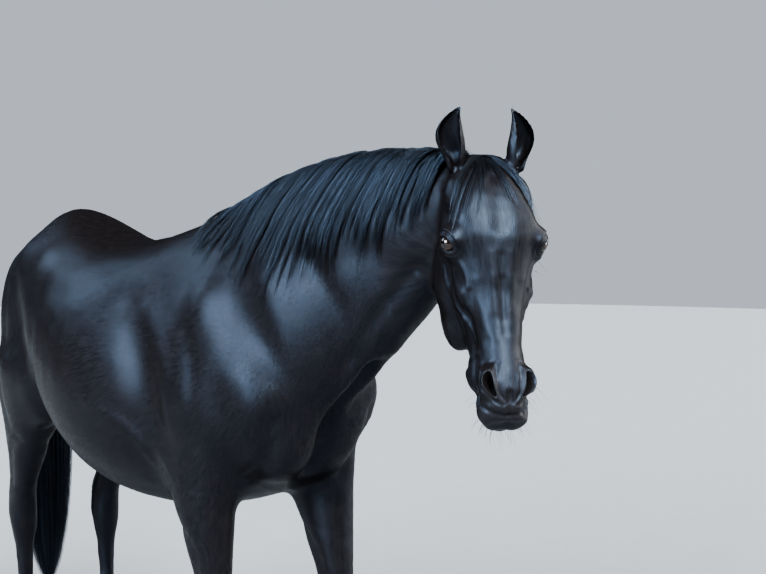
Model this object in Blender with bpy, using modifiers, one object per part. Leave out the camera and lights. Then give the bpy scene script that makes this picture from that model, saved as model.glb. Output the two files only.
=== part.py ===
"""A standing black horse of Arabian type, life size, with its head turned towards its right.

The horse faces -Y with its left side on +X and the floor at Z = 0. The body is lofted from a
few stations, rounded with muscle masses, fused into one form, and then parted with thin cuts
into the pieces that a person would name. Units are metres.
"""

import math

import bmesh
import bpy
from mathutils import Matrix, Vector

# Driving sizes
WITHERS_HEIGHT = 1.475
CUT_GAP = 0.0003
SWELLING = 1.6 * CUT_GAP

# The spine bends gently to the left: the quarters and the forehand each keep a straight run
FORE_TURN = math.radians(7.5)
HIND_TURN = math.radians(-7.5)
BEND_FRONT = -0.10
BEND_REAR = -0.60

# The poll: ahead of the withers, to the left and up. The head turns right from the forehand
POLL = Vector((0.888, 0.064, 1.632))
HEAD_TURN = math.radians(-31.0)
HEAD_SLOPE = math.radians(24.0)
HEAD_TILT = math.radians(1.6)

# How far each leg stands ahead of its plumb place at the floor
STEPS_AHEAD = {"fore_left": 0.27, "fore_right": 0.07, "hind_left": 0.04, "hind_right": -0.04}

# Finished surface: voxel sizes, then triangles left in each form before it is parted
RING_SIDES = 24
STEPS = 5
BODY_VOXEL = 0.011
HEAD_VOXEL = 0.0055
BODY_TRIANGLES = 3150
HEAD_TRIANGLES = 1800
HEAD_ROUNDS = 8
HEAD_FORM_START = 12

# Colour and roughness
COAT = ((0.010, 0.011, 0.014, 1.0), 0.32)
HAIR = ((0.006, 0.007, 0.009, 1.0), 0.40)
HORN = ((0.030, 0.026, 0.023, 1.0), 0.45)
EYE = ((0.020, 0.010, 0.006, 1.0), 0.06)


def clear_scene():
    for obj in list(bpy.data.objects):
        bpy.data.objects.remove(obj, do_unlink=True)


def new_collection(name):
    collection = bpy.data.collections.new(name)
    bpy.context.scene.collection.children.link(collection)
    return collection


def spine_heading(ahead):
    """How far the body has turned to the left at this distance ahead of the withers."""
    share = (ahead - BEND_REAR) / (BEND_FRONT - BEND_REAR)
    return HIND_TURN + (FORE_TURN - HIND_TURN) * min(max(share, 0.0), 1.0)


def spine_point(ahead):
    """The plan position of the spine, walked in short steps from the withers."""
    count = 40
    step = ahead / count
    place = Vector((0.0, 0.0, 0.0))
    for index in range(count):
        turn = spine_heading((index + 0.5) * step)
        place += Vector((math.sin(turn), -math.cos(turn), 0.0)) * step
    return place


def side_axis(turn):
    return Vector((math.cos(turn), math.sin(turn), 0.0))


def at(ahead, left, height):
    """A point of the bent body, from its distance ahead of the withers, to the left and up."""
    side = side_axis(spine_heading(ahead))
    return spine_point(ahead) + side * left + Vector((0.0, 0.0, height))


def head_matrix():
    """The head's own frame: X to its left, Y out of its face, Z from the muzzle to the poll."""
    turn = FORE_TURN + HEAD_TURN
    ahead = Vector((math.sin(turn), -math.cos(turn), 0.0))
    up = Vector((0.0, 0.0, 1.0))
    long_axis = up * math.cos(HEAD_SLOPE) - ahead * math.sin(HEAD_SLOPE)
    out = ahead * math.cos(HEAD_SLOPE) + up * math.sin(HEAD_SLOPE)
    rotation = Matrix((side_axis(turn), out, long_axis)).transposed().to_4x4()
    return Matrix.Translation(at(*POLL)) @ rotation @ Matrix.Rotation(HEAD_TILT, 4, "Y")


def smooth_row(rows, steps):
    """Catmull-Rom between rows of numbers, keeping every given row."""
    out = []
    last = len(rows) - 1
    for index in range(last):
        before = rows[max(index - 1, 0)]
        start = rows[index]
        end = rows[index + 1]
        after = rows[min(index + 2, last)]
        for step in range(steps):
            t = step / steps
            row = []
            for a, b, c, d in zip(before, start, end, after):
                bend = 2 * b + (c - a) * t + (2 * a - 5 * b + 4 * c - d) * t * t
                row.append(0.5 * (bend + (3 * b - a - 3 * c + d) * t ** 3))
            out.append(row)
    out.append(list(rows[-1]))
    return out


def ring(top, bottom, side, width, waist, upper, lower, sides=RING_SIDES):
    """A closed oval between two points. waist is how far up the widest level lies."""
    centre = bottom.lerp(top, waist)
    points = []
    for index in range(sides):
        angle = 2 * math.pi * index / sides
        power = 2.0 / (upper if math.sin(angle) > 0 else lower)
        across = math.copysign(abs(math.cos(angle)) ** power, math.cos(angle))
        along = abs(math.sin(angle)) ** power
        reach = (top if math.sin(angle) > 0 else bottom) - centre
        points.append(centre + side * (width * across) + reach * along)
    return points


def add_loft(bm, rings):
    """Skins a row of rings of equal count and closes both ends."""
    rows = [[bm.verts.new(point) for point in points] for points in rings]
    count = len(rows[0])
    for near, far in zip(rows, rows[1:]):
        for index in range(count):
            after = (index + 1) % count
            bm.faces.new((near[index], near[after], far[after], far[index]))
    bm.faces.new(list(reversed(rows[0])))
    bm.faces.new(rows[-1])


def add_mass(bm, matrix, radii):
    """An egg-shaped mass with these radii along the axes of its frame."""
    made = bmesh.ops.create_uvsphere(bm, u_segments=16, v_segments=9, radius=1.0)
    size = Matrix.Diagonal((*radii, 1.0))
    bmesh.ops.transform(bm, matrix=matrix @ size, verts=made["verts"])


# Stations of the trunk: ahead, top, bottom, half-width, waist, upper and lower roundness
TRUNK = (
    (-1.145, 1.290, 1.130, 0.060, 0.50, 2.0, 2.0),
    (-1.090, 1.375, 1.000, 0.112, 0.50, 1.9, 2.0),
    (-0.970, 1.448, 0.930, 0.160, 0.55, 1.8, 2.0),
    (-0.830, 1.488, 0.890, 0.192, 0.56, 1.75, 2.0),
    (-0.680, 1.465, 0.845, 0.230, 0.54, 1.9, 2.0),
    (-0.500, 1.428, 0.775, 0.262, 0.48, 2.0, 2.1),
    (-0.320, 1.408, 0.722, 0.284, 0.45, 2.0, 2.1),
    (-0.140, 1.432, 0.708, 0.268, 0.43, 1.8, 2.1),
    (0.000, WITHERS_HEIGHT, 0.722, 0.235, 0.42, 1.55, 2.1),
    (0.140, 1.460, 0.750, 0.215, 0.42, 1.6, 2.1),
    (0.270, 1.370, 0.795, 0.195, 0.42, 1.9, 2.1),
    (0.380, 1.240, 0.870, 0.160, 0.45, 2.0, 2.0),
    (0.435, 1.140, 0.960, 0.080, 0.50, 2.0, 2.0),
)


def add_trunk(bm):
    rings = []
    for row in smooth_row(TRUNK, STEPS):
        ahead, top, bottom, width, waist, upper, lower = row
        side = side_axis(spine_heading(ahead))
        high = at(ahead, 0.0, top)
        low = at(ahead, 0.0, bottom)
        rings.append(ring(high, low, side, width, waist, upper, lower))
    add_loft(bm, rings)


# Muscles that round the trunk: ahead, left, height, then radii sideways, ahead and up,
# how far the mass leans forward, and the share of its leg's step that it takes
MUSCLES = (
    ("shoulder blade", 0.09, 0.138, 1.140, 0.060, 0.120, 0.200, 30, 0.0),
    ("upper arm", 0.10, 0.165, 1.010, 0.068, 0.190, 0.140, 10, 0.3),
    ("point of shoulder", 0.29, 0.120, 1.050, 0.085, 0.100, 0.150, -10, 0.2),
    ("breast", 0.33, 0.075, 0.950, 0.080, 0.095, 0.120, 0, 0.0),
    ("croup", -0.80, 0.088, 1.270, 0.110, 0.240, 0.140, 10, 0.0),
    ("thigh", -0.97, 0.112, 1.120, 0.098, 0.165, 0.250, -6, 0.0),
    ("stifle", -0.78, 0.140, 0.990, 0.088, 0.115, 0.170, -28, 0.3),
)


def add_muscles(bm):
    for _, ahead, left, height, across, along, up, lean, share in MUSCLES:
        end = "fore" if ahead > -0.5 else "hind"
        spin = Matrix.Rotation(spine_heading(ahead), 4, "Z")
        tilt = Matrix.Rotation(math.radians(lean), 4, "X")
        for side, word in ((-1, "right"), (1, "left")):
            swing = share * STEPS_AHEAD[end + "_" + word]
            place = Matrix.Translation(at(ahead + swing, side * left, height))
            add_mass(bm, place @ spin @ tilt, (across, along, up))


# Stations of the neck, poll last: crest ahead and height, gullet ahead and height, left,
# half-width, waist, upper and lower roundness, turn of the section in degrees
NECK = (
    (-0.06, 1.440, 0.300, 0.900, 0.000, 0.170, 0.45, 1.7, 2.0, 0),
    (0.08, 1.488, 0.410, 0.970, 0.002, 0.158, 0.45, 1.6, 2.0, 2),
    (0.25, 1.565, 0.520, 1.055, 0.010, 0.136, 0.45, 1.6, 2.0, 5),
    (0.42, 1.618, 0.610, 1.145, 0.028, 0.112, 0.45, 1.6, 2.0, 8),
    (0.58, 1.642, 0.692, 1.240, 0.048, 0.093, 0.46, 1.7, 2.0, 6),
    (0.72, 1.642, 0.760, 1.328, 0.062, 0.080, 0.48, 1.8, 2.0, -4),
    (0.82, 1.628, 0.815, 1.385, 0.066, 0.072, 0.50, 1.9, 2.0, -14),
    (0.89, 1.595, 0.870, 1.430, 0.060, 0.064, 0.50, 2.0, 2.0, -22),
)


def neck_rings(sides=RING_SIDES):
    rings = []
    for row in smooth_row(NECK, STEPS):
        crest, high, gullet, low, left, width, waist, upper, lower, turn = row
        side = side_axis(FORE_TURN + math.radians(turn))
        top = at(crest, left, high)
        bottom = at(gullet, left, low)
        rings.append(ring(top, bottom, side, width, waist, upper, lower, sides))
    return rings


# Stations of a leg, from the top: height, front and back edge ahead of the withers, half-width,
# distance of the axis from the middle
FORELEG = (
    (0.980, 0.250, -0.050, 0.078, 0.150),
    (0.900, 0.215, -0.060, 0.074, 0.148),
    (0.820, 0.185, -0.045, 0.072, 0.143),
    (0.740, 0.165, -0.018, 0.066, 0.139),
    (0.640, 0.147, 0.015, 0.054, 0.135),
    (0.540, 0.137, 0.044, 0.041, 0.131),
    (0.480, 0.142, 0.047, 0.044, 0.130),
    (0.430, 0.138, 0.050, 0.042, 0.129),
    (0.380, 0.124, 0.054, 0.030, 0.128),
    (0.290, 0.120, 0.056, 0.025, 0.127),
    (0.200, 0.124, 0.054, 0.027, 0.126),
    (0.155, 0.136, 0.048, 0.034, 0.125),
    (0.110, 0.152, 0.088, 0.028, 0.125),
    (0.078, 0.182, 0.094, 0.040, 0.125),
    (0.050, 0.190, 0.100, 0.040, 0.125),
)
HINDLEG = (
    (1.040, -0.680, -1.120, 0.100, 0.135),
    (0.940, -0.680, -1.108, 0.098, 0.142),
    (0.850, -0.735, -1.070, 0.080, 0.144),
    (0.740, -0.845, -1.060, 0.060, 0.140),
    (0.630, -0.936, -1.090, 0.043, 0.134),
    (0.575, -0.975, -1.125, 0.040, 0.130),
    (0.520, -0.993, -1.117, 0.044, 0.128),
    (0.460, -1.000, -1.093, 0.041, 0.127),
    (0.400, -1.010, -1.083, 0.030, 0.126),
    (0.300, -1.010, -1.078, 0.025, 0.125),
    (0.200, -1.003, -1.078, 0.028, 0.124),
    (0.155, -0.987, -1.078, 0.035, 0.123),
    (0.110, -0.965, -1.031, 0.029, 0.122),
    (0.078, -0.933, -1.021, 0.041, 0.122),
    (0.050, -0.925, -1.015, 0.041, 0.122),
)
FORE_PIVOT = 1.25
HIND_PIVOT = 1.15
HEEL_DROP = 0.030
HEEL_DROP_FROM = 0.140
HEEL_DROP_TO = 0.080
LEG_OVAL = (0.55, 2.2, 2.0)
LEGS = (
    ("fore", "left", FORELEG, 1, FORE_PIVOT, 2.2),
    ("fore", "right", FORELEG, -1, FORE_PIVOT, 2.2),
    ("hind", "left", HINDLEG, 1, HIND_PIVOT, 1.0),
    ("hind", "right", HINDLEG, -1, HIND_PIVOT, 1.0),
)


def swing(height, step, pivot, bend):
    """How far a leg point has swung ahead: a bend above 1 gains most of it near the top."""
    share = min(max(height / pivot, 0.0), 1.0)
    return step * (1.0 - share ** bend)


def add_leg(bm, stations, side, step, pivot, bend):
    rings = []
    for height, front, back, width, left in smooth_row(stations, 4):
        run = (HEEL_DROP_FROM - height) / (HEEL_DROP_FROM - HEEL_DROP_TO)
        slope = HEEL_DROP * min(max(run, 0.0), 1.0)
        ahead = swing(height, step, pivot, bend)
        fore = at(front + ahead, side * left, height + slope * 0.4)
        rear = at(back + ahead, side * left, height - slope * 0.6)
        turn = spine_heading(front)
        rings.append(ring(fore, rear, side_axis(turn), width, *LEG_OVAL))
    add_loft(bm, rings)


# Stations of the head in its own frame: down from the poll, face line, jaw line,
# half-width, waist, upper and lower roundness
SKULL = (
    (-0.02, -0.035, -0.120, 0.058, 0.55, 2.2, 2.0),
    (0.04, 0.006, -0.170, 0.080, 0.60, 2.4, 2.0),
    (0.11, 0.028, -0.205, 0.100, 0.64, 2.6, 1.9),
    (0.185, 0.030, -0.228, 0.106, 0.68, 2.8, 1.8),
    (0.25, 0.016, -0.234, 0.090, 0.64, 2.6, 1.9),
    (0.33, -0.002, -0.218, 0.070, 0.58, 2.4, 2.0),
    (0.42, -0.012, -0.168, 0.056, 0.52, 2.3, 2.1),
    (0.49, -0.010, -0.138, 0.056, 0.48, 2.3, 2.1),
    (0.545, -0.016, -0.140, 0.060, 0.48, 2.3, 2.1),
    (0.588, -0.040, -0.132, 0.052, 0.50, 2.2, 2.0),
    (0.605, -0.066, -0.112, 0.032, 0.50, 2.0, 2.0),
)

# Masses of the head: left, out of the face, down, then radii across, out and along
HEAD_MASSES = (
    ("brow", 0.086, -0.022, 0.190, 0.034, 0.036, 0.040),
    ("lower lid", 0.088, -0.034, 0.212, 0.028, 0.030, 0.030),
    ("cheek", 0.056, -0.138, 0.235, 0.050, 0.096, 0.118),
    ("jaw", 0.046, -0.170, 0.308, 0.046, 0.062, 0.092),
    ("face crest", 0.062, -0.054, 0.270, 0.030, 0.028, 0.085),
    ("temple", 0.056, -0.040, 0.095, 0.046, 0.048, 0.070),
    ("nostril wing", 0.044, -0.034, 0.512, 0.029, 0.026, 0.040),
    ("mouth corner", 0.046, -0.096, 0.478, 0.022, 0.034, 0.050),
    ("upper lip", 0.028, -0.072, 0.560, 0.036, 0.042, 0.042),
    ("chin", 0.010, -0.125, 0.552, 0.032, 0.028, 0.038),
)
EYE_PLACE = (0.0985, -0.026, -0.200)
EYE_RADIUS = 0.0215
NOSTRIL_PLACE = (0.046, -0.004, -0.510)
NOSTRIL_RADII = (0.008, 0.020, 0.015)


def add_head(bm):
    frame = head_matrix()
    left = frame.to_3x3() @ Vector((1.0, 0.0, 0.0))
    rings = []
    for down, face, jaw, width, waist, upper, lower in smooth_row(SKULL, STEPS):
        top = frame @ Vector((0.0, face, -down))
        bottom = frame @ Vector((0.0, jaw, -down))
        rings.append(ring(top, bottom, left, width, waist, upper, lower))
    add_loft(bm, rings)
    for _, aside, out, down, across, depth, along in HEAD_MASSES:
        for side in (-1, 1):
            place = Matrix.Translation((side * aside, out, -down))
            add_mass(bm, frame @ place, (across, depth, along))


# Stations of the tail: ahead and height of its middle, half-width, half-depth
TAIL = (
    (-1.040, 1.335, 0.042, 0.042),
    (-1.130, 1.356, 0.034, 0.034),
    (-1.195, 1.335, 0.040, 0.040),
    (-1.238, 1.250, 0.054, 0.046),
    (-1.258, 1.100, 0.072, 0.052),
    (-1.264, 0.900, 0.088, 0.056),
    (-1.258, 0.660, 0.092, 0.056),
    (-1.246, 0.440, 0.074, 0.048),
    (-1.236, 0.290, 0.044, 0.032),
    (-1.230, 0.200, 0.010, 0.008),
)
TAIL_CUT = (-1.160, 0.0, 1.3)


def add_tail(bm, stations):
    rows = smooth_row(stations, 3)
    side = side_axis(HIND_TURN)
    rings = []
    for index, (ahead, height, width, depth) in enumerate(rows):
        before = rows[max(index - 1, 0)]
        after = rows[min(index + 1, len(rows) - 1)]
        run = Vector((after[0] - before[0], after[1] - before[1])).normalized()
        outer = at(ahead + depth * run.y, 0.0, height - depth * run.x)
        inner = at(ahead - depth * run.y, 0.0, height + depth * run.x)
        rings.append(ring(outer, inner, side, width, 0.5, 2.0, 2.0, 12))
    add_loft(bm, rings)


# Stations of an ear, base first: share of its length, half-width, depth, lean outwards
EAR_LENGTH = 0.128
EAR_BASE = (0.068, -0.030, 0.012)
EAR = (
    (-0.12, 0.020, 0.020, 0.000),
    (0.10, 0.025, 0.025, 0.003),
    (0.30, 0.032, 0.027, 0.009),
    (0.50, 0.033, 0.025, 0.013),
    (0.70, 0.026, 0.020, 0.010),
    (0.86, 0.015, 0.012, 0.001),
    (0.95, 0.008, 0.007, -0.008),
    (1.00, 0.003, 0.003, -0.014),
)
EAR_WALL = 0.0035
EAR_ARC = 7
EAR_OPENS_OUT = 0.35
EAR_LEANS_OUT = 0.04
EAR_CURL_BASE = 150
EAR_CURL_TIP = 110


def add_ear(bm, side):
    """A curled leaf: an outer arc round the back and an inner one, open to the front."""
    turn = FORE_TURN + HEAD_TURN
    left = side_axis(turn)
    ahead = Vector((math.sin(turn), -math.cos(turn), 0.0))
    opening = (ahead + left * (side * EAR_OPENS_OUT)).normalized()
    across = Vector((0.0, 0.0, 1.0)).cross(opening)
    frame = head_matrix()
    aside, out, down = EAR_BASE
    base = frame @ Vector((side * aside, out, -down))
    rise = (Vector((0.0, 0.0, 1.0)) + left * (side * EAR_LEANS_OUT)).normalized()
    rings = []
    for share, width, depth, lean in smooth_row(EAR, 2):
        centre = base + rise * (share * EAR_LENGTH) + left * (side * lean)
        wall = min(EAR_WALL, width * 0.5)
        curl = EAR_CURL_BASE + (EAR_CURL_TIP - EAR_CURL_BASE) * max(share, 0.0)
        spread = math.radians(curl)
        outer = []
        inner = []
        for index in range(EAR_ARC):
            angle = spread * (2 * index / (EAR_ARC - 1) - 1)
            back = -opening * math.cos(angle)
            flank = across * math.sin(angle)
            outer.append(centre + back * depth + flank * width)
            hollow = min(1.0, max(0.0, (share + 0.05) / 0.2))
            thin = wall + (1.0 - hollow) * (depth - wall) * 0.9
            inner.append(centre + back * (depth - thin) + flank * (width - thin))
        rings.append(outer + inner[::-1])
    add_loft(bm, rings)


# Hoof walls: how far they flare from the coronet to the ground at the toe, heel and sides
HOOF_SIDES = 14
CORONET_FRONT = 0.084
CORONET_BACK = 0.050
HOOF_TOE = 0.046
HOOF_HEEL = 0.004
HOOF_FLARE = 0.014
HOOF_LEVELS = (0.0, 0.12, 0.5, 0.92, 1.0)
HOOF_TRIM = 0.97
HOOF_OVAL = (0.48, 2.0, 2.5)


def hoof_edges(end, word, stations, side, pivot, bend):
    """The front and back of a coronet, after the leg's step."""
    step = STEPS_AHEAD[end + "_" + word]
    _, front, back, width, left = stations[-2]
    ahead = swing(CORONET_BACK, step, pivot, bend)
    return front + ahead, back + ahead, width, side * left


def add_hoof(bm, front, back, width, left):
    """Rings from the coronet down to a flat sole."""
    rings = []
    for share in HOOF_LEVELS:
        trim = HOOF_TRIM if share in (0.0, 1.0) else 1.0
        toe = front + HOOF_TOE * share
        heel = back - HOOF_HEEL * share
        middle = (toe + heel) / 2
        half = (toe - heel) / 2 * trim
        high = (CORONET_FRONT - CUT_GAP * 2) * (1.0 - share)
        low = (CORONET_BACK - CUT_GAP * 2) * (1.0 - share)
        tilt = (high - low) * (1.0 - trim) / 2
        fore = at(middle + half, left, high - tilt)
        rear = at(middle - half, left, low + tilt)
        flare = (width + HOOF_FLARE * share) * trim
        turn = spine_heading(front)
        rings.append(ring(fore, rear, side_axis(turn), flare, *HOOF_OVAL, HOOF_SIDES))
    add_loft(bm, rings)


# The mane lies on the right of the neck: how far round it hangs at each end of its run
MANE_ROWS = (4, 31)
MANE_SIDES = 72
MANE_START = 15
MANE_REACH = 13
MANE_REACH_MORE = 10
MANE_TAPER = 2.2
MANE_THICK = 0.014
MANE_ANGLES = 8
MANE_SKIP = 3
MANE_SINK = 0.012
MANE_END_THICK = 0.35
MANE_TIP_THIN = 0.65


def add_mane(bm):
    """A sheet of hair laid over the crest and down the right side of the neck."""
    rings = []
    fine = neck_rings(MANE_SIDES)
    first, last = MANE_ROWS
    for index in range(first, last + 1, MANE_SKIP):
        points = fine[index]
        centre = sum(points, Vector()) / len(points)
        run = (index - first) / (last - first)
        body = min(1.0, math.sin(math.pi * min(max(run, 0.02), 0.98)) * MANE_TAPER)
        reach = MANE_REACH + round(MANE_REACH_MORE * body)
        outer = []
        inner = []
        for step in range(MANE_ANGLES):
            share = step / (MANE_ANGLES - 1)
            point = points[round(MANE_START + reach * share)]
            away = (point - centre).normalized()
            full = MANE_END_THICK + (1.0 - MANE_END_THICK) * body
            thick = MANE_THICK * full * (1.0 - MANE_TIP_THIN * share ** 2)
            outer.append(point + away * thick)
            inner.append(point - away * MANE_SINK)
        rings.append(outer + inner[::-1])
    add_loft(bm, rings)


# Stations of the forelock: down from the poll, half-width, thickness over the forehead
FORELOCK = (
    (-0.030, 0.022, 0.006),
    (0.010, 0.036, 0.010),
    (0.060, 0.036, 0.008),
    (0.105, 0.026, 0.006),
    (0.135, 0.010, 0.004),
)
FORELOCK_SINK = 0.020


def face_line(down):
    """How far the face lies out of the head's own axis at this distance from the poll."""
    for near, far in zip(SKULL, SKULL[1:]):
        if near[0] <= down <= far[0]:
            share = (down - near[0]) / (far[0] - near[0])
            return near[1] + (far[1] - near[1]) * share
    return SKULL[0][1]


def add_forelock(bm):
    frame = head_matrix()
    left = frame.to_3x3() @ Vector((1.0, 0.0, 0.0))
    rings = []
    for down, width, thick in smooth_row(FORELOCK, 2):
        face = face_line(down)
        top = frame @ Vector((0.0, face + thick, -down))
        bottom = frame @ Vector((0.0, face - FORELOCK_SINK, -down))
        rings.append(ring(top, bottom, left, width, 0.5, 3.0, 3.0, 10))
    add_loft(bm, rings)


def add_object(name, bm, collection):
    mesh = bpy.data.meshes.new(name)
    bmesh.ops.recalc_face_normals(bm, faces=bm.faces)
    bm.to_mesh(mesh)
    bm.free()
    obj = bpy.data.objects.new(name, mesh)
    collection.objects.link(obj)
    return obj


def settle(obj):
    """Replaces an object's mesh by what its modifiers make of it."""
    graph = bpy.context.evaluated_depsgraph_get()
    mesh = bpy.data.meshes.new_from_object(obj.evaluated_get(graph))
    obj.modifiers.clear()
    obj.data = mesh


def fuse(obj, voxel, triangles, rounds):
    """Fuses overlapping shells into one skin, eases it and thins its triangles.

    rounds says how many times a point is eased, from its place.
    """
    remesh = obj.modifiers.new("fuse", "REMESH")
    remesh.mode = "VOXEL"
    remesh.voxel_size = voxel
    settle(obj)
    bm = bmesh.new()
    bm.from_mesh(obj.data)
    wanted = {vert: rounds(vert.co) for vert in bm.verts}
    for index in range(max(wanted.values())):
        moving = [vert for vert in bm.verts if wanted[vert] > index]
        bmesh.ops.smooth_vert(
            bm, verts=moving, factor=0.5, use_axis_x=True, use_axis_y=True, use_axis_z=True
        )
    bm.to_mesh(obj.data)
    bm.free()
    thin = obj.modifiers.new("thin", "DECIMATE")
    thin.ratio = triangles / (2 * len(obj.data.polygons))
    thin.use_collapse_triangulate = True
    settle(obj)


def body_rounds(place):
    """The big masses are eased most, the lower legs least."""
    share = min(max((place.z - 0.60) / 0.30, 0.0), 1.0)
    return round(4 + 34 * share)


def head_rounds(_):
    return HEAD_ROUNDS


def copy_of(obj, name, collection):
    twin = bpy.data.objects.new(name, obj.data.copy())
    collection.objects.link(twin)
    return twin


def keep_side(obj, point, normal):
    """Cuts an object with a plane and keeps what lies on the side that the normal points to."""
    bm = bmesh.new()
    bm.from_mesh(obj.data)
    made = bmesh.ops.bisect_plane(
        bm,
        geom=bm.verts[:] + bm.edges[:] + bm.faces[:],
        dist=1e-6,
        plane_co=point,
        plane_no=normal,
        clear_inner=True,
    )
    rim = [item for item in made["geom_cut"] if isinstance(item, bmesh.types.BMEdge)]
    bmesh.ops.holes_fill(bm, edges=rim, sides=0)
    bmesh.ops.triangulate(bm, faces=[face for face in bm.faces if len(face.verts) > 3])
    bm.to_mesh(obj.data)
    bm.free()


def carve(obj, cutter, operation):
    boolean = obj.modifiers.new(operation.lower(), "BOOLEAN")
    boolean.object = cutter
    boolean.operation = operation
    boolean.solver = "EXACT"
    boolean.use_self = True
    settle(obj)


def keep_largest(obj):
    """Drops loose slivers that a cut has left."""
    bm = bmesh.new()
    bm.from_mesh(obj.data)
    bmesh.ops.remove_doubles(bm, verts=bm.verts, dist=1e-5)
    left = set(bm.verts)
    islands = []
    while left:
        island = set()
        todo = [left.pop()]
        while todo:
            vert = todo.pop()
            island.add(vert)
            for edge in vert.link_edges:
                other = edge.other_vert(vert)
                if other in left:
                    left.remove(other)
                    todo.append(other)
        islands.append(island)
    best = max(islands, key=len)
    drop = [vert for vert in bm.verts if vert not in best]
    bmesh.ops.delete(bm, geom=drop, context="VERTS")
    bmesh.ops.triangulate(bm, faces=bm.faces)
    bm.to_mesh(obj.data)
    bm.free()


def swollen(obj, collection):
    """Returns a hidden copy of a form, larger all round by more than the gap between pieces."""
    bigger = copy_of(obj, obj.name + "_swollen", collection)
    bm = bmesh.new()
    bm.from_mesh(bigger.data)
    bm.normal_update()
    for vert in bm.verts:
        vert.co += vert.normal * SWELLING
    bm.to_mesh(bigger.data)
    bm.free()
    return bigger


def clear_of(obj, neighbours, collection):
    """Cuts the neighbours' swollen forms out of a piece, and returns the piece's own."""
    for neighbour in neighbours:
        carve(obj, neighbour, "DIFFERENCE")
    keep_largest(obj)
    return swollen(obj, collection)


def add_box(name, collection, low, high, turn, pitch, place):
    """A cutter box between two corners in its own frame, then pitched, turned and placed."""
    bm = bmesh.new()
    made = bmesh.ops.create_cube(bm, size=1.0)
    low = Vector(low)
    high = Vector(high)
    size = Matrix.Diagonal((*(high - low), 1.0))
    matrix = Matrix.Translation(place) @ Matrix.Rotation(turn, 4, "Z")
    matrix = matrix @ Matrix.Rotation(pitch, 4, "X")
    matrix = matrix @ Matrix.Translation((low + high) / 2) @ size
    bmesh.ops.transform(bm, matrix=matrix, verts=made["verts"])
    return add_object(name, bm, collection)


def paint(obj, look):
    color, roughness = look
    material = bpy.data.materials.new(obj.name)
    material.use_nodes = True
    shader = material.node_tree.nodes["Principled BSDF"]
    shader.inputs["Base Color"].default_value = color
    shader.inputs["Roughness"].default_value = roughness
    obj.data.materials.clear()
    obj.data.materials.append(material)
    obj.data.shade_smooth()


# Where the forms are parted. A leg's box hangs from a corner near the middle of the body:
# the corner's ahead, left and height, the box's reach back and ahead, and its pitch
NECK_CUT = (Vector((0.13, 0.0, 1.48)), Vector((0.47, 0.0, 1.03)))
HEAD_CUT = (Vector((0.0, -0.085, 0.035)), Vector((0.0, -0.245, -0.200)))
LEG_BOXES = {
    "fore": (-0.11, 0.055, 0.850, 0.0, 0.60, -6),
    "hind": (-0.56, 0.0002, 0.960, -0.80, 0.0, 8),
}
LEG_BOX_OUT = 0.45
LEG_BOX_BELOW = 0.4


def cut_plane(first, second, side):
    """The middle and normal of a plane through two points and along the side axis."""
    normal = (second - first).cross(side).normalized()
    return (first + second) / 2, normal


def tail_cut():
    """A point of the cut between trunk and tail, and the cut's normal towards the tail."""
    behind = side_axis(HIND_TURN).cross(Vector((0.0, 0.0, 1.0)))
    return at(*TAIL_CUT), behind if behind.y > 0 else -behind


def part_leg(body, trunk, row, horse, cutters):
    """Cuts one leg out of the body and the trunk, and gives it its hoof."""
    end, word, stations, side, pivot, bend = row
    name = end + "leg_" + word
    corner, inner, top, back, fore, pitch = LEG_BOXES[end]
    turn = FORE_TURN if end == "fore" else HIND_TURN
    place = at(corner, 0.0, top)
    boxes = []
    for grow in (0.0, CUT_GAP):
        near = side * (inner - grow)
        far = side * LEG_BOX_OUT
        low = Vector((min(near, far), -fore - grow, -top - LEG_BOX_BELOW))
        high = Vector((max(near, far), -back + grow, grow))
        box_name = name + "_box_" + str(len(boxes))
        boxes.append(add_box(box_name, cutters, low, high, turn, math.radians(pitch), place))
    leg = copy_of(body, name, horse)
    carve(leg, boxes[0], "INTERSECT")
    keep_largest(leg)
    carve(trunk, boxes[1], "DIFFERENCE")
    front, rear, width, aside = hoof_edges(end, word, stations, side, pivot, bend)
    toe = at(front, aside, CORONET_FRONT)
    heel = at(rear, aside, CORONET_BACK)
    sole, up = cut_plane(toe, heel, side_axis(turn))
    if up.z < 0:
        up = -up
    keep_side(leg, sole, up)
    keep_largest(leg)
    paint(leg, COAT)
    bm = bmesh.new()
    add_hoof(bm, front, rear, width, aside)
    hoof = add_object("hoof_" + end + "_" + word, bm, horse)
    paint(hoof, HORN)


def part_body(body, head, horse, cutters):
    """Parts the fused forms into neck, trunk, head and legs, and returns the head."""
    side = side_axis(FORE_TURN)
    middle, normal = cut_plane(at(*NECK_CUT[0]), at(*NECK_CUT[1]), side)
    if normal.dot(at(*POLL) - middle) < 0:
        normal = -normal
    frame = head_matrix()
    left = frame.to_3x3() @ Vector((1.0, 0.0, 0.0))
    nape, facing = cut_plane(frame @ HEAD_CUT[0], frame @ HEAD_CUT[1], left)
    if facing.dot(frame @ Vector((0.0, 0.0, -0.4)) - nape) < 0:
        facing = -facing
    neck = copy_of(body, "neck", horse)
    keep_side(neck, middle + normal * CUT_GAP, normal)
    keep_side(neck, nape, -facing)
    skull = copy_of(head, "head", horse)
    keep_side(skull, nape + facing * CUT_GAP, facing)
    trunk = copy_of(body, "trunk", horse)
    keep_side(trunk, middle, -normal)
    for row in LEGS:
        part_leg(body, trunk, row, horse, cutters)
    place, behind = tail_cut()
    keep_side(trunk, place, -behind)
    keep_largest(trunk)
    for obj in (neck, skull, trunk):
        paint(obj, COAT)
    return skull


def add_ball(name, place, radii, collection):
    bm = bmesh.new()
    add_mass(bm, place, radii)
    return add_object(name, bm, collection)


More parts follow.
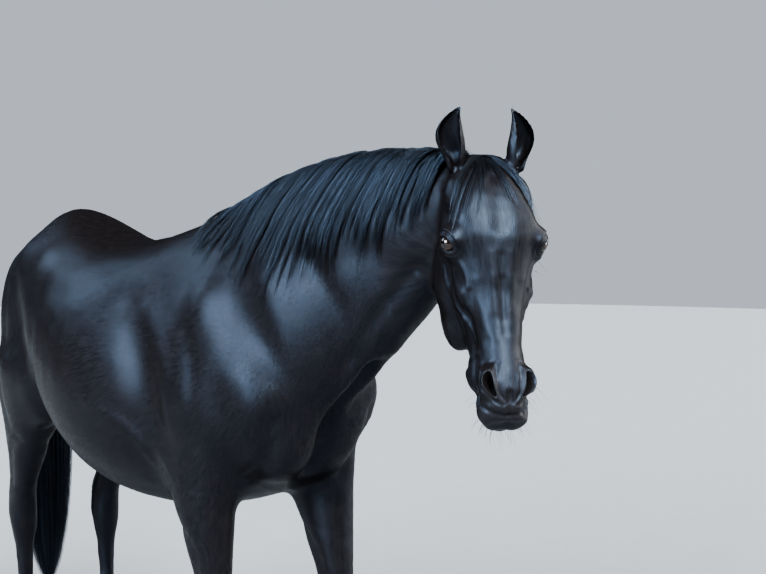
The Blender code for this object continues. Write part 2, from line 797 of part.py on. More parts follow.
def add_eyes(head, horse, cutters):
    """Sets an eyeball in its socket on each side of the head, and hollows the nostrils."""
    frame = head_matrix()
    for side, word in ((1, "left"), (-1, "right")):
        aside, out, down = EYE_PLACE
        place = frame @ Matrix.Translation((side * aside, out, down))
        ball = add_ball("eye_" + word, place, (EYE_RADIUS,) * 3, horse)
        paint(ball, EYE)
        socket = add_ball("socket_" + word, place, (EYE_RADIUS + 2 * CUT_GAP,) * 3, cutters)
        carve(head, socket, "DIFFERENCE")
        aside, out, down = NOSTRIL_PLACE
        place = frame @ Matrix.Translation((side * aside, out, down))
        pit = add_ball("nostril_pit_" + word, place, NOSTRIL_RADII, cutters)
        carve(head, pit, "DIFFERENCE")
    keep_largest(head)


def stand_on_floor(collection):
    """Moves every piece so that the whole box is centred over the origin and stands on Z = 0."""
    corners = [vert.co for obj in collection.objects for vert in obj.data.vertices]
    low = Vector([min(point[axis] for point in corners) for axis in range(3)])
    high = Vector([max(point[axis] for point in corners) for axis in range(3)])
    shift = Vector((-(low.x + high.x) / 2, -(low.y + high.y) / 2, -low.z))
    for obj in collection.objects:
        obj.data.transform(Matrix.Translation(shift))


def main():
    clear_scene()
    horse = new_collection("standing_horse")
    cutters = new_collection("cutters")
    bm = bmesh.new()
    add_trunk(bm)
    add_muscles(bm)
    add_loft(bm, neck_rings())
    for end, word, stations, side, pivot, bend in LEGS:
        add_leg(bm, stations, side, STEPS_AHEAD[end + "_" + word], pivot, bend)
    add_head(bm)
    add_tail(bm, TAIL[:3])
    body = add_object("body_form", bm, cutters)
    fuse(body, BODY_VOXEL, BODY_TRIANGLES, body_rounds)
    bm = bmesh.new()
    add_loft(bm, neck_rings()[HEAD_FORM_START:])
    add_head(bm)
    head = add_object("head_form", bm, cutters)
    fuse(head, HEAD_VOXEL, HEAD_TRIANGLES, head_rounds)
    skull = part_body(body, head, horse, cutters)
    add_eyes(skull, horse, cutters)
    around = [swollen(form, cutters) for form in (skull, body)]
    for side, word in ((1, "left"), (-1, "right")):
        bm = bmesh.new()
        add_ear(bm, side)
        ear = add_object("ear_" + word, bm, horse)
        paint(ear, COAT)
        around.append(clear_of(ear, around, cutters))
    for name, build in (("mane", add_mane), ("forelock", add_forelock)):
        bm = bmesh.new()
        build(bm)
        hair = add_object(name, bm, horse)
        paint(hair, HAIR)
        around.append(clear_of(hair, around, cutters))
    bm = bmesh.new()
    add_tail(bm, TAIL)
    tail = add_object("tail", bm, horse)
    place, behind = tail_cut()
    keep_side(tail, place + behind * CUT_GAP, behind)
    paint(tail, HAIR)
    for form in list(cutters.objects):
        bpy.data.objects.remove(form, do_unlink=True)
    stand_on_floor(horse)


main()
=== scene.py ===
"""Looks of a standing black horse: skin, coat, mane, forelock, tail, eyes, hooves and a studio.

The horse faces -Y with its left on +X. Head features are placed in the head's own frame: X to
its left, Y out of its face and Z from the muzzle to the poll. Body features are placed by their
distance ahead of the withers, to the left, and up. Units are metres.
"""

import math

import bmesh
import bpy
import numpy as np
from bpy.props import FloatProperty, FloatVectorProperty, IntProperty, PointerProperty
from mathutils import Matrix, Vector
from mathutils.bvhtree import BVHTree


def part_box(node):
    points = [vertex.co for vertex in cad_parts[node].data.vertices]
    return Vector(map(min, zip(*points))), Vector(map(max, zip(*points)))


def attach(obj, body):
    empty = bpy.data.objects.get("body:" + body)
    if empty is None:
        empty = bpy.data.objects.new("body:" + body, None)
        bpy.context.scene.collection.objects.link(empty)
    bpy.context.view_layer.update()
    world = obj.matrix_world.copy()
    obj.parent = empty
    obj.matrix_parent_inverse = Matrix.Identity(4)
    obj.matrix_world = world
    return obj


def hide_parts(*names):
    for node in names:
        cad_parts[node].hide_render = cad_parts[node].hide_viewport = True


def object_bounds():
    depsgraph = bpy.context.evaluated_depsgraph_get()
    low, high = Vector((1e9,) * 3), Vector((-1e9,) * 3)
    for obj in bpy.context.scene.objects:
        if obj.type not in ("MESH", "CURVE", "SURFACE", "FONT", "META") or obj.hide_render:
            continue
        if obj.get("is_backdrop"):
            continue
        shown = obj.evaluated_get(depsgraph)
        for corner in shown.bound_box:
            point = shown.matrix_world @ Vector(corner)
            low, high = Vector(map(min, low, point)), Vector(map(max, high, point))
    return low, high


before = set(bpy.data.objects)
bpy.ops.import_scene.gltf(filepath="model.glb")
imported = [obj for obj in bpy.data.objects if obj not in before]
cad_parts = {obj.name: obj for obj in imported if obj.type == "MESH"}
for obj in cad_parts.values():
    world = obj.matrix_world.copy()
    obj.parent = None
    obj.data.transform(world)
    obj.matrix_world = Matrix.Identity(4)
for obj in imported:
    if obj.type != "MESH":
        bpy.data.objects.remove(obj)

bl_info = {
    "name": "Standing black horse",
    "version": (1, 0, 0),
    "blender": (4, 5, 0),
    "location": "View3D > Sidebar > Horse",
    "description": "Dresses the solids of a standing horse with skin, coat, hair, eyes and hooves",
    "category": "Add Mesh",
}

FRAME_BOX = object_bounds()
BODY = "root"
SIDES = {"left": 1, "right": -1}
LEGS = ("foreleg_left", "foreleg_right", "hindleg_left", "hindleg_right")
BODY_FLESH = ("trunk", "neck", "head") + LEGS
HEAD_FLESH = ("neck", "head", "ear_left", "ear_right", "eye_left", "eye_right")
# Where the random numbers of each kind of hair start
SEEDS = {
    "coat": 7, "mane": 27, "forelock": 29, "tail": 37,
    "lashes": 47, "whiskers": 48, "ear hair": 49, "coronets": 57,
}

# The spine's bend, and how the head is carried
FORE_TURN = math.radians(7.5)
HIND_TURN = math.radians(-7.5)
BEND_FRONT = -0.10
BEND_REAR = -0.60
POLL = (0.888, 0.064, 1.632)
HEAD_TURN = math.radians(-31.0)
HEAD_SLOPE = math.radians(24.0)
HEAD_TILT = math.radians(1.6)
EYE_OUT = -0.026
EYE_DOWN = 0.200
SPINE_STEPS = 40


# ---------------------------------------------------------------- places on the horse


def spine_heading(ahead):
    """How far the body has turned to the left at this distance ahead of the withers."""
    share = (ahead - BEND_REAR) / (BEND_FRONT - BEND_REAR)
    return HIND_TURN + (FORE_TURN - HIND_TURN) * min(max(share, 0.0), 1.0)


def side_axis(turn):
    """The way to the left of a body that has turned this far."""
    return Vector((math.cos(turn), math.sin(turn), 0.0))


def spine_point(ahead):
    """The place this far along the bent middle line from the withers, on the floor."""
    step = ahead / SPINE_STEPS
    place = Vector((0.0, 0.0, 0.0))
    for index in range(SPINE_STEPS):
        turn = spine_heading((index + 0.5) * step)
        place += Vector((math.sin(turn), -math.cos(turn), 0.0)) * step
    return place


def box_centre(node):
    """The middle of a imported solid's box."""
    low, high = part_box(node)
    return (low + high) / 2


def head_matrix():
    """The head's frame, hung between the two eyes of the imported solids."""
    turn = FORE_TURN + HEAD_TURN
    ahead = Vector((math.sin(turn), -math.cos(turn), 0.0))
    up = Vector((0.0, 0.0, 1.0))
    long_axis = up * math.cos(HEAD_SLOPE) - ahead * math.sin(HEAD_SLOPE)
    out = ahead * math.cos(HEAD_SLOPE) + up * math.sin(HEAD_SLOPE)
    rotation = Matrix((side_axis(turn), out, long_axis)).transposed().to_4x4()
    rotation = rotation @ Matrix.Rotation(HEAD_TILT, 4, "Y")
    eyes = (box_centre("eye_left") + box_centre("eye_right")) / 2
    origin = eyes - rotation @ Vector((0.0, EYE_OUT, -EYE_DOWN))
    return Matrix.Translation(origin) @ rotation


HEAD = head_matrix()
HEAD_AXES = np.array(HEAD.to_3x3())
HEAD_ORIGIN = np.array(HEAD.translation)
POLL_PLACE = spine_point(POLL[0]) + side_axis(spine_heading(POLL[0])) * POLL[1]
WITHERS = Vector((HEAD.translation.x, HEAD.translation.y, 0.0)) - POLL_PLACE


def at(ahead, left, height):
    """A point of the bent body."""
    side = side_axis(spine_heading(ahead))
    return WITHERS + spine_point(ahead) + side * left + Vector((0.0, 0.0, height))


SPINE_AHEAD = np.linspace(-1.50, 1.60, 311)
SPINE_PLACES = np.array([at(ahead, 0.0, 0.0) for ahead in SPINE_AHEAD])
SPINE_SIDES = np.array([side_axis(spine_heading(ahead)) for ahead in SPINE_AHEAD])
SPINE_FRONTS = np.stack([SPINE_SIDES[:, 1], -SPINE_SIDES[:, 0], SPINE_SIDES[:, 2]], axis=1)


def body_places(points):
    """Ahead, left and height of each point, and the way the body faces there."""
    flat = points[:, :2]
    miss = np.abs(
        np.einsum("ij,kj->ik", flat, SPINE_FRONTS[:, :2])
        - np.einsum("kj,kj->k", SPINE_PLACES[:, :2], SPINE_FRONTS[:, :2])
    )
    near = miss.argmin(axis=1)
    left = np.einsum("ij,ij->i", flat - SPINE_PLACES[near, :2], SPINE_SIDES[near, :2])
    return np.stack([SPINE_AHEAD[near], left, points[:, 2]], axis=1), SPINE_FRONTS[near]


def head_places(points):
    """The points in the head's own frame."""
    return (points - HEAD_ORIGIN) @ HEAD_AXES


def bell(distance, reach):
    """1 at no distance, falling to nearly 0 two reaches away."""
    return np.exp(-np.square(distance / reach))


def ramp(values, start, end):
    """0 before start, 1 after end, smooth between."""
    share = np.clip((values - start) / (end - start), 0.0, 1.0)
    return share * share * (3.0 - 2.0 * share)


def unit(vectors):
    """The same ways, each one long."""
    return vectors / np.maximum(np.linalg.norm(vectors, axis=-1, keepdims=True), 1e-9)


def on_head(points):
    """1 on the head, 0 from the throat back."""
    places = head_places(points)
    behind = np.maximum(-places[:, 1] - 0.16 - 0.35 * np.maximum(-places[:, 2], 0.0), 0.0)
    return ramp(-behind, -0.06, -0.01) * ramp(places[:, 1], -0.36, -0.30)


# ---------------------------------------------------------------- shaping the skin


def joined(names, grow):
    """One mesh of the named solids, each merged and grown until neighbours overlap."""
    whole = bmesh.new()
    for name in names:
        part = bmesh.new()
        part.from_mesh(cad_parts[name].data)
        bmesh.ops.remove_doubles(part, verts=part.verts, dist=1e-5)
        bmesh.ops.recalc_face_normals(part, faces=part.faces)
        part.normal_update()
        for vert in part.verts:
            vert.co += vert.normal * grow
        mesh = bpy.data.meshes.new("part")
        part.to_mesh(mesh)
        part.free()
        whole.from_mesh(mesh)
        bpy.data.meshes.remove(mesh)
    return whole


def keep_largest(bm):
    """Removes all but the largest connected island of a form."""
    left = set(bm.verts)
    islands = []
    while left:
        todo = [left.pop()]
        island = set(todo)
        while todo:
            for edge in todo.pop().link_edges:
                for other in edge.verts:
                    if other in left:
                        left.remove(other)
                        island.add(other)
                        todo.append(other)
        islands.append(island)
    best = max(islands, key=len)
    drop = [vert for vert in bm.verts if vert not in best]
    bmesh.ops.delete(bm, geom=drop, context="VERTS")


def remeshed(bm, voxel):
    """The form as one even net of small squares."""
    mesh = bpy.data.meshes.new("form")
    bm.to_mesh(mesh)
    bm.free()
    form = bpy.data.objects.new("form", mesh)
    bpy.context.scene.collection.objects.link(form)
    net = form.modifiers.new("net", "REMESH")
    net.mode = "VOXEL"
    net.voxel_size = voxel
    graph = bpy.context.evaluated_depsgraph_get()
    out = bmesh.new()
    out.from_mesh(form.evaluated_get(graph).to_mesh())
    bpy.data.objects.remove(form, do_unlink=True)
    bpy.data.meshes.remove(mesh)
    keep_largest(out)
    return out


def places_of(bm):
    """The places of a form's vertices, as an array."""
    return np.array([vert.co[:] for vert in bm.verts])


def place_all(bm, points):
    """Moves every vertex of a form to its new place."""
    for vert, point in zip(bm.verts, points):
        vert.co = point
    bm.normal_update()


def fair(bm, rounds, band, weight=None):
    """Rubs out what is smaller than the band and keeps the volume, after Taubin."""
    points = places_of(bm)
    bm.verts.index_update()
    ends = np.array([[edge.verts[0].index, edge.verts[1].index] for edge in bm.edges])
    first, second = ends.T
    count = len(points)
    degree = np.bincount(first, minlength=count) + np.bincount(second, minlength=count)
    shrink = 0.6
    swell = -1.0 / (1.0 / shrink - band)
    share = np.ones(count) if weight is None else weight(points)
    mean = np.empty_like(points)
    for _ in range(rounds):
        for factor in (shrink, swell):
            for axis in range(3):
                column = points[:, axis]
                total = np.bincount(first, column[second], count)
                total += np.bincount(second, column[first], count)
                mean[:, axis] = total / degree
            points += (mean - points) * (factor * share)[:, None]
    place_all(bm, points)


def skin_tree(bm):
    """A search tree over the faces of a form."""
    return BVHTree.FromBMesh(bm)


def row_through(points, steps=5):
    """A smooth row of points through a few given ones."""
    rows = [Vector(point) for point in points]
    last = len(rows) - 1
    out = []
    for index in range(last):
        before = rows[max(index - 1, 0)]
        start = rows[index]
        end = rows[index + 1]
        after = rows[min(index + 2, last)]
        for step in range(steps):
            t = step / steps
            bend = 2 * start + (end - before) * t
            bend += (2 * before - 5 * start + 4 * end - after) * t * t
            bend += (3 * start - before - 3 * end + after) * t ** 3
            out.append(bend * 0.5)
    out.append(rows[-1])
    return out


def closeness(points, path, reach):
    """1 on a path and falling to 0 about two reaches away from it."""
    best = np.full(len(points), 1e9)
    for start, end in zip(path, path[1:]):
        run = np.array(end - start)
        away = points - np.array(start)
        share = np.clip(away @ run / max(run @ run, 1e-12), 0.0, 1.0)
        gap = away - share[:, None] * run
        best = np.minimum(best, np.einsum("ij,ij->i", gap, gap))
    return np.exp(-best / reach ** 2)


# Head relief, in the head's frame and mirrored: name, reach, height, points on the surface
HEAD_RELIEF = (
    ("facial crest", 0.0090, 0.0050, (
        (0.084, -0.078, -0.290), (0.078, -0.085, -0.320), (0.066, -0.082, -0.355))),
    ("below the crest", 0.0130, -0.0035, (
        (0.088, -0.104, -0.290), (0.078, -0.112, -0.340), (0.064, -0.108, -0.385))),
    ("cheek hollow", 0.0140, -0.0070, (
        (0.072, -0.052, -0.325), (0.060, -0.064, -0.372), (0.054, -0.064, -0.425))),
    ("tear ridge", 0.0080, 0.0030, (
        (0.086, -0.022, -0.250), (0.074, -0.022, -0.275), (0.068, -0.026, -0.300))),
    ("hollow by the tear ridge", 0.0110, -0.0035, ((0.094, -0.044, -0.262), (0.084, -0.044, -0.290))),
    ("cheek vein", 0.0048, 0.0022, (
        (0.098, -0.090, -0.232), (0.095, -0.092, -0.262), (0.087, -0.094, -0.300),
        (0.074, -0.080, -0.345), (0.060, -0.068, -0.395), (0.056, -0.058, -0.440))),
    ("crest vein", 0.0045, 0.0020, (
        (0.076, -0.112, -0.337), (0.066, -0.116, -0.368), (0.057, -0.106, -0.402),
        (0.055, -0.090, -0.440))),
    ("nasal ridge", 0.0130, 0.0018, (
        (0.050, -0.016, -0.290), (0.044, -0.022, -0.342), (0.034, -0.020, -0.395),
        (0.026, -0.016, -0.420))),
    ("upper face middle", 0.0085, -0.0007, (
        (0.0, 0.020, -0.245), (0.0, 0.002, -0.340), (0.0, -0.006, -0.380))),
    ("lower face middle", 0.0085, -0.0007, (
        (0.0, 0.010, -0.295), (0.0, 0.002, -0.340), (0.0, -0.006, -0.410))),
    ("upper nasal bone", 0.0120, 0.0008, (
        (0.020, 0.020, -0.240), (0.021, -0.004, -0.324), (0.022, -0.010, -0.360))),
    ("lower nasal bone", 0.0120, 0.0009, (
        (0.020, 0.008, -0.290), (0.021, -0.004, -0.324), (0.022, -0.014, -0.385))),
    ("hollow above the nostril", 0.0180, -0.0018, ((0.038, -0.028, -0.425), (0.042, -0.028, -0.455))),
    ("brow", 0.0150, 0.0040, (
        (0.104, -0.050, -0.160), (0.108, -0.022, -0.178), (0.098, 0.000, -0.206))),
    ("hollow above the eye", 0.0180, -0.0050, ((0.092, -0.045, -0.125), (0.088, -0.020, -0.138))),
    ("temple line", 0.0150, 0.0025, (
        (0.030, 0.012, -0.060), (0.052, 0.012, -0.105), (0.074, 0.008, -0.150))),
    ("forehead middle", 0.0180, -0.0018, (
        (0.0, 0.006, -0.060), (0.0, 0.026, -0.120), (0.0, 0.028, -0.185))),
    ("jaw edge", 0.0140, 0.0030, (
        (0.092, -0.190, -0.180), (0.094, -0.214, -0.260), (0.080, -0.214, -0.330),
        (0.060, -0.190, -0.385))),
    ("cheek plate", 0.0400, 0.0045, ((0.104, -0.120, -0.200), (0.098, -0.140, -0.270))),
    ("in front of the cheek plate", 0.0130, -0.0040, (
        (0.098, -0.080, -0.275), (0.086, -0.124, -0.345), (0.072, -0.160, -0.385))),
    ("mouth corner", 0.0100, 0.0030, ((0.060, -0.100, -0.470), (0.060, -0.096, -0.484))),
    ("behind the mouth corner", 0.0090, -0.0030, ((0.060, -0.090, -0.452), (0.058, -0.112, -0.460))),
    ("fold to the mouth corner", 0.0080, -0.0030, (
        (0.060, -0.050, -0.478), (0.062, -0.062, -0.512), (0.054, -0.062, -0.548))),
    ("ridge to the mouth corner", 0.0080, 0.0026, (
        (0.062, -0.070, -0.462), (0.062, -0.080, -0.505), (0.056, -0.074, -0.545))),
    ("side of the nostril wing", 0.0180, -0.0050, ((0.070, -0.034, -0.500), (0.068, -0.036, -0.525))),
    ("upper lip", 0.0140, 0.0045, ((0.012, -0.034, -0.566), (0.036, -0.038, -0.560))),
    ("lip middle", 0.0070, -0.0016, ((0.0, -0.018, -0.540), (0.0, -0.034, -0.574))),
    ("side of the lower lip", 0.0230, -0.0125, (
        (0.058, -0.098, -0.525), (0.050, -0.102, -0.553), (0.040, -0.106, -0.580))),
    ("front of the lower lip", 0.0150, -0.0050, ((0.0, -0.062, -0.598), (0.026, -0.066, -0.590))),
    ("chin", 0.0180, -0.0040, ((0.0, -0.100, -0.594), (0.020, -0.104, -0.590))),
    ("chin groove", 0.0150, -0.0060, ((0.0, -0.140, -0.530), (0.020, -0.136, -0.530))),
    ("jaw middle", 0.0180, -0.0100, (
        (0.0, -0.200, -0.400), (0.0, -0.226, -0.320), (0.0, -0.230, -0.240))),
)
# The line between the lips, from the middle to the left corner
MOUTH = (
    (0.0, -0.040, -0.581),
    (0.024, -0.042, -0.574),
    (0.044, -0.060, -0.549),
    (0.056, -0.082, -0.512),
    (0.060, -0.096, -0.484),
)

# Body relief by rays from the side, on both sides: name, reach, height, (ahead, height) points
SIDE_RELIEF = (
    ("front edge of the shoulder", 0.045, 0.010, (
        (0.32, 1.38), (0.39, 1.27), (0.43, 1.17), (0.44, 1.08))),
    ("before the shoulder", 0.042, -0.013, ((0.47, 1.38), (0.54, 1.27), (0.56, 1.16), (0.54, 1.07))),
    ("shoulder blade", 0.070, 0.012, ((0.12, 1.40), (0.19, 1.26), (0.24, 1.12))),
    ("shoulder plane", 0.100, 0.006, ((0.27, 1.28), (0.33, 1.12))),
    ("base of the neck", 0.080, -0.010, ((0.66, 1.36), (0.62, 1.28))),
    ("triceps", 0.080, 0.010, ((0.12, 1.17), (0.16, 1.05))),
    ("back of the triceps", 0.034, 0.006, ((-0.03, 1.24), (0.04, 1.15), (0.075, 1.06), (0.09, 0.98))),
    ("behind the triceps", 0.060, -0.010, ((-0.11, 1.24), (-0.05, 1.15), (0.00, 1.06), (0.02, 0.98))),
    ("between the triceps' heads", 0.026, -0.0035, (
        (0.13, 1.20), (0.17, 1.12), (0.19, 1.02), (0.19, 0.94))),
    ("point of the shoulder", 0.050, 0.008, ((0.39, 1.04),)),
    ("elbow", 0.045, 0.006, ((0.03, 0.90), (0.05, 0.86))),
    ("spur vein", 0.012, 0.0035, ((-0.20, 1.00), (-0.10, 0.965), (-0.04, 0.92), (-0.01, 0.86))),
    ("belly vein", 0.009, 0.0018, ((-0.16, 0.93), (-0.26, 0.90), (-0.36, 0.90))),
    ("breast vein", 0.009, 0.0020, ((0.40, 0.98), (0.33, 0.92), (0.28, 0.86), (0.25, 0.78))),
    ("jugular groove", 0.020, -0.006, (
        (0.73, 1.375), (0.66, 1.29), (0.60, 1.21), (0.52, 1.10), (0.46, 1.03))),
    ("jugular ridge", 0.018, 0.004, ((0.76, 1.355), (0.70, 1.27), (0.63, 1.18), (0.56, 1.08))),
    ("neck muscle", 0.055, 0.005, ((0.40, 1.46), (0.50, 1.46), (0.62, 1.48))),
    ("under the neck muscle", 0.035, -0.003, ((0.40, 1.39), (0.50, 1.38), (0.62, 1.41))),
    ("hip point", 0.060, 0.007, ((-0.62, 1.34),)),
    ("flank hollow", 0.065, -0.012, ((-0.56, 1.24), (-0.58, 1.16))),
    ("stifle fold", 0.035, -0.008, ((-0.56, 1.06), (-0.63, 0.96))),
    ("stifle", 0.055, 0.008, ((-0.72, 0.98),)),
    ("thigh groove", 0.034, -0.007, ((-0.98, 1.22), (-0.98, 1.08), (-0.95, 0.95), (-0.92, 0.84))),
    ("front ribs", 0.022, 0.0012, ((-0.30, 1.22), (-0.34, 1.05))),
    ("rear ribs", 0.022, 0.0012, ((-0.38, 1.20), (-0.42, 1.05))),
)
# The same from ahead: (left, height) points
FRONT_RELIEF = (
    ("breast middle", 0.022, -0.016, ((0.0, 1.10), (0.0, 0.98), (0.0, 0.86))),
    ("breast muscle", 0.045, 0.008, ((0.075, 1.00), (0.080, 0.92))),
    ("breast side", 0.020, -0.009, ((0.150, 1.00), (0.135, 0.90), (0.120, 0.84))),
)
# Down the legs, by height: name, leg, reach, height of the relief, how far forward, low, high
LEG_RELIEF = (
    ("tendon groove", "fore", 0.010, -0.0040, -0.012, 0.20, 0.36),
    ("tendon groove", "hind", 0.010, -0.0040, -0.014, 0.20, 0.42),
    ("forearm groove", "fore", 0.018, -0.0060, 0.010, 0.52, 0.76),
    ("gaskin groove", "hind", 0.018, -0.0060, 0.000, 0.62, 0.80),
)
LEG_STEP = 0.03
LEG_BAND = 0.035
RELIEF_STEP = 0.04
# Where rays start: this far beside the body, ahead of the withers, or beside a leg's middle
BODY_RAY = 0.7
FRONT_RAY = 1.2
LEG_RAY = 0.25


def head_paths(points):
    """A row of points of the left half of the head, and its mirror image."""
    for side in SIDES.values():
        yield [HEAD @ Vector((side * x, y, z)) for x, y, z in points]


def cast_paths(tree, points, view):
    """Rows of points where rays from both sides, or from ahead, meet the skin."""
    for side in SIDES.values():
        row = []
        for first, height in points:
            if view == "side":
                start = at(first, side * BODY_RAY, height)
                way = -side_axis(spine_heading(first)) * side
            else:
                start = at(FRONT_RAY, side * first, height)
                way = -Vector(SPINE_FRONTS[-1])
            hit = tree.ray_cast(start, way)[0]
            if hit:
                row.append(hit)
        if len(row) == 1:
            row.append(row[0] + Vector((0.0, 0.0, 0.001)))
        if row:
            yield row


def leg_middles(node):
    """The middle of a leg at each height, low first."""
    points = np.array([vert.co[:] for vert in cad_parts[node].data.vertices])
    heights = np.arange(points[:, 2].min() + 0.02, points[:, 2].max() - 0.04, LEG_STEP)
    rows = []
    for height in heights:
        band = points[np.abs(points[:, 2] - height) < LEG_BAND]
        rows.append((*((band.min(axis=0) + band.max(axis=0)) / 2)[:2], height))
    return np.array(rows)


def leg_middle(rows, height):
    """The middle of a leg at one height or at many."""
    return [np.interp(height, rows[:, 2], rows[:, axis]) for axis in (0, 1)]


def leg_paths(tree, end, forward, low, high):
    """Rows of points down both faces of the two fore or hind legs."""
    for side in SIDES:
        middles = leg_middles(end + "leg_" + side)
        across = side_axis(FORE_TURN if end == "fore" else HIND_TURN)
        ahead = Vector((across.y, -across.x, 0.0))
        for way in (1, -1):
            row = []
            for height in np.arange(low, high, RELIEF_STEP):
                centre = Vector((*leg_middle(middles, height), height))
                start = centre + ahead * forward + across * (LEG_RAY * way)
                hit = tree.ray_cast(start, -across * way)[0]
                if hit:
                    row.append(hit)
            if len(row) > 1:
                yield row


def raise_relief(bm, fine):
    """Raises or sinks the skin along each named line, square to its surface."""
    tree = skin_tree(bm)
    points = places_of(bm)
    normals = np.array([vert.normal[:] for vert in bm.verts])
    lift = np.zeros(len(points))
    if fine:
        for _, reach, height, row in HEAD_RELIEF:
            for path in head_paths(row):
                path = [tree.find_nearest(point)[0] for point in row_through(path)]
                lift += height * closeness(points, path, reach)
    jobs = [(row[1:], "side") for row in SIDE_RELIEF] + [(row[1:], "front") for row in FRONT_RELIEF]
    for (reach, height, row), view in jobs:
        for path in cast_paths(tree, row, view):
            smooth = [tree.find_nearest(point)[0] for point in row_through(path)]
            lift += height * closeness(points, smooth, reach)
    if not fine:
        for _, end, reach, height, forward, low, high in LEG_RELIEF:
            for path in leg_paths(tree, end, forward, low, high):
                lift += height * closeness(points, path, reach)
    place_all(bm, points + normals * lift[:, None])


# ---------------------------------------------------------------- lids, nostrils and mouth


EYE_RADIUS = 0.0215
GAZE = Vector((1.0, 0.52, -0.45))
# The opening between the lids: half its length and height, its long axis, the lids' thickness
LID_LONG = 0.0225
LID_TALL = 0.0150
LID_AXIS = Vector((0.0, 0.56, -0.83))
LID_THICK = 0.0022
UPPER_SHARE = 1.08
LOWER_SHARE = 0.92
# How far round an eye the skin is shaped, how far behind its middle, how deep the ball's skin sinks
EYE_REACH = 0.060
EYE_BEHIND = 0.012
SOCKET_DEPTH = 0.0045
# Height and place of the rim and of the folds over it, as shares of the opening
LID_RIM = (0.0012, 1.14, 0.14)
LID_FOLD = (-0.0028, 1.50, 0.11)
BROW_FOLD = (0.0016, 1.80, 0.16)
NOSTRIL = Vector((0.0405, -0.016, -0.519))
NOSTRIL_FACING = Vector((0.46, 0.89, 0.0))
NOSTRIL_AXIS = Vector((-0.10, 0.0, -1.0))
NOSTRIL_LONG = 0.0270
NOSTRIL_WIDE = 0.0098
NOSTRIL_DEEP = 0.034
NOSTRIL_REACH = 0.055
NOSTRIL_BEHIND = 0.030
NOSTRIL_RIM = (0.0028, 1.25, 0.30)
NOSTRIL_MOAT = (-0.0016, 1.95, 0.30)
MOUTH_DEEP = 0.0042
MOUTH_WIDE = 0.0044
LIPS_HIGH = 0.0006
LIPS_WIDE = 0.0120

# How the skin's net is made: rounds and band of each fairing, how far the solids grow into
# each other, where head and body meet, how far they overlap there, and where the net is finer
BODY_FAIRING = ((60, 0.030), (12, 0.10))
HEAD_FAIRING = ((130, 0.022), (6, 0.15))
SOLID_GROWTH = 0.0006
SEAM_CREST = (0.66, 0.055, 1.643)
SEAM_GULLET = (0.735, 0.060, 1.290)
SEAM_MARGIN = 0.07
FINER_REACH = 0.036


def eye_frame(side):
    """Centre of an eye, then its gaze, the lids' long axis towards the nose, and upwards."""
    centre = np.array(box_centre("eye_" + side))
    sign = SIDES[side]
    turned = HEAD.to_3x3()
    gaze = (turned @ Vector((sign * GAZE.x, GAZE.y, GAZE.z))).normalized()
    long_axis = turned @ Vector((sign * LID_AXIS.x, LID_AXIS.y, LID_AXIS.z))
    long_axis = (long_axis - gaze * long_axis.dot(gaze)).normalized()
    tall = gaze.cross(long_axis).normalized()
    if tall.z < 0:
        tall = -tall
    return centre, np.array(gaze), np.array(long_axis), np.array(tall)


def ridge(place, height, middle, reach):
    """A ridge of this height round an oval, at the given share of its size."""
    return height * bell(place - middle, reach)


def shape_lids(points):
    """Wraps the skin over each eyeball and opens it in an almond between the lids."""
    for side in SIDES:
        centre, gaze, long_axis, tall = eye_frame(side)
        away = points - centre
        along = away @ long_axis
        up = away @ tall
        depth = away @ gaze
        near = (np.linalg.norm(away, axis=1) < EYE_REACH) & (depth > -EYE_BEHIND)
        tallness = np.where(up > 0, LID_TALL * UPPER_SHARE, LID_TALL * LOWER_SHARE)
        almond = np.sqrt((along / LID_LONG) ** 2 + np.abs(up / tallness) ** 1.7)
        spread = np.minimum(along ** 2 + up ** 2, EYE_RADIUS ** 2)
        ball = np.sqrt(EYE_RADIUS ** 2 - spread)
        rim = LID_THICK + ridge(almond, *LID_RIM)
        cover = ball + rim - 0.030 * np.maximum(almond - 1.5, 0.0)
        above = 0.35 + 0.65 * ramp(up, -0.004, 0.008)
        fold = (ridge(almond, *LID_FOLD) + ridge(almond, *BROW_FOLD)) * above
        outside = np.maximum(depth, cover) + fold * ramp(-almond, -2.4, -1.8)
        inside = np.minimum(depth, ball - SOCKET_DEPTH)
        opened = ramp(almond, 0.93, 1.0)
        target = outside * opened + inside * (1.0 - opened)
        shift = np.where(near, target - depth, 0.0)
        points = points + gaze * shift[:, None]
    return points


def shape_nostrils(points):
    """Sinks each nostril behind a raised, flared rim."""
    turned = HEAD.to_3x3()
    for sign in SIDES.values():
        mirror = Vector((sign, 1.0, 1.0))
        centre = np.array(HEAD @ (NOSTRIL * mirror))
        facing = (NOSTRIL_FACING * mirror).normalized()
        long_axis = (NOSTRIL_AXIS * mirror).normalized()
        across = facing.cross(long_axis).normalized()
        if across.x * sign < 0:
            across = -across
        facing, long_axis, across = (np.array(turned @ v) for v in (facing, long_axis, across))
        away = points - centre
        along = away @ long_axis
        aside = away @ across - 0.0045 + 9.0 * (along + 0.004) ** 2
        depth = away @ facing
        near = (np.linalg.norm(away, axis=1) < NOSTRIL_REACH) & (depth > -NOSTRIL_BEHIND)
        wide = NOSTRIL_WIDE * (1.0 - 0.30 * ramp(along, 0.0, NOSTRIL_LONG))
        place = np.sqrt((along / NOSTRIL_LONG) ** 2 + (aside / wide) ** 2)
        pit = -NOSTRIL_DEEP * np.clip(1.0 - place, 0.0, 1.0) ** 0.75
        rim = ridge(place, *NOSTRIL_RIM) + ridge(place, *NOSTRIL_MOAT)
        shift = np.where(near, pit + rim, 0.0)
        points = points + facing * shift[:, None]
    return points


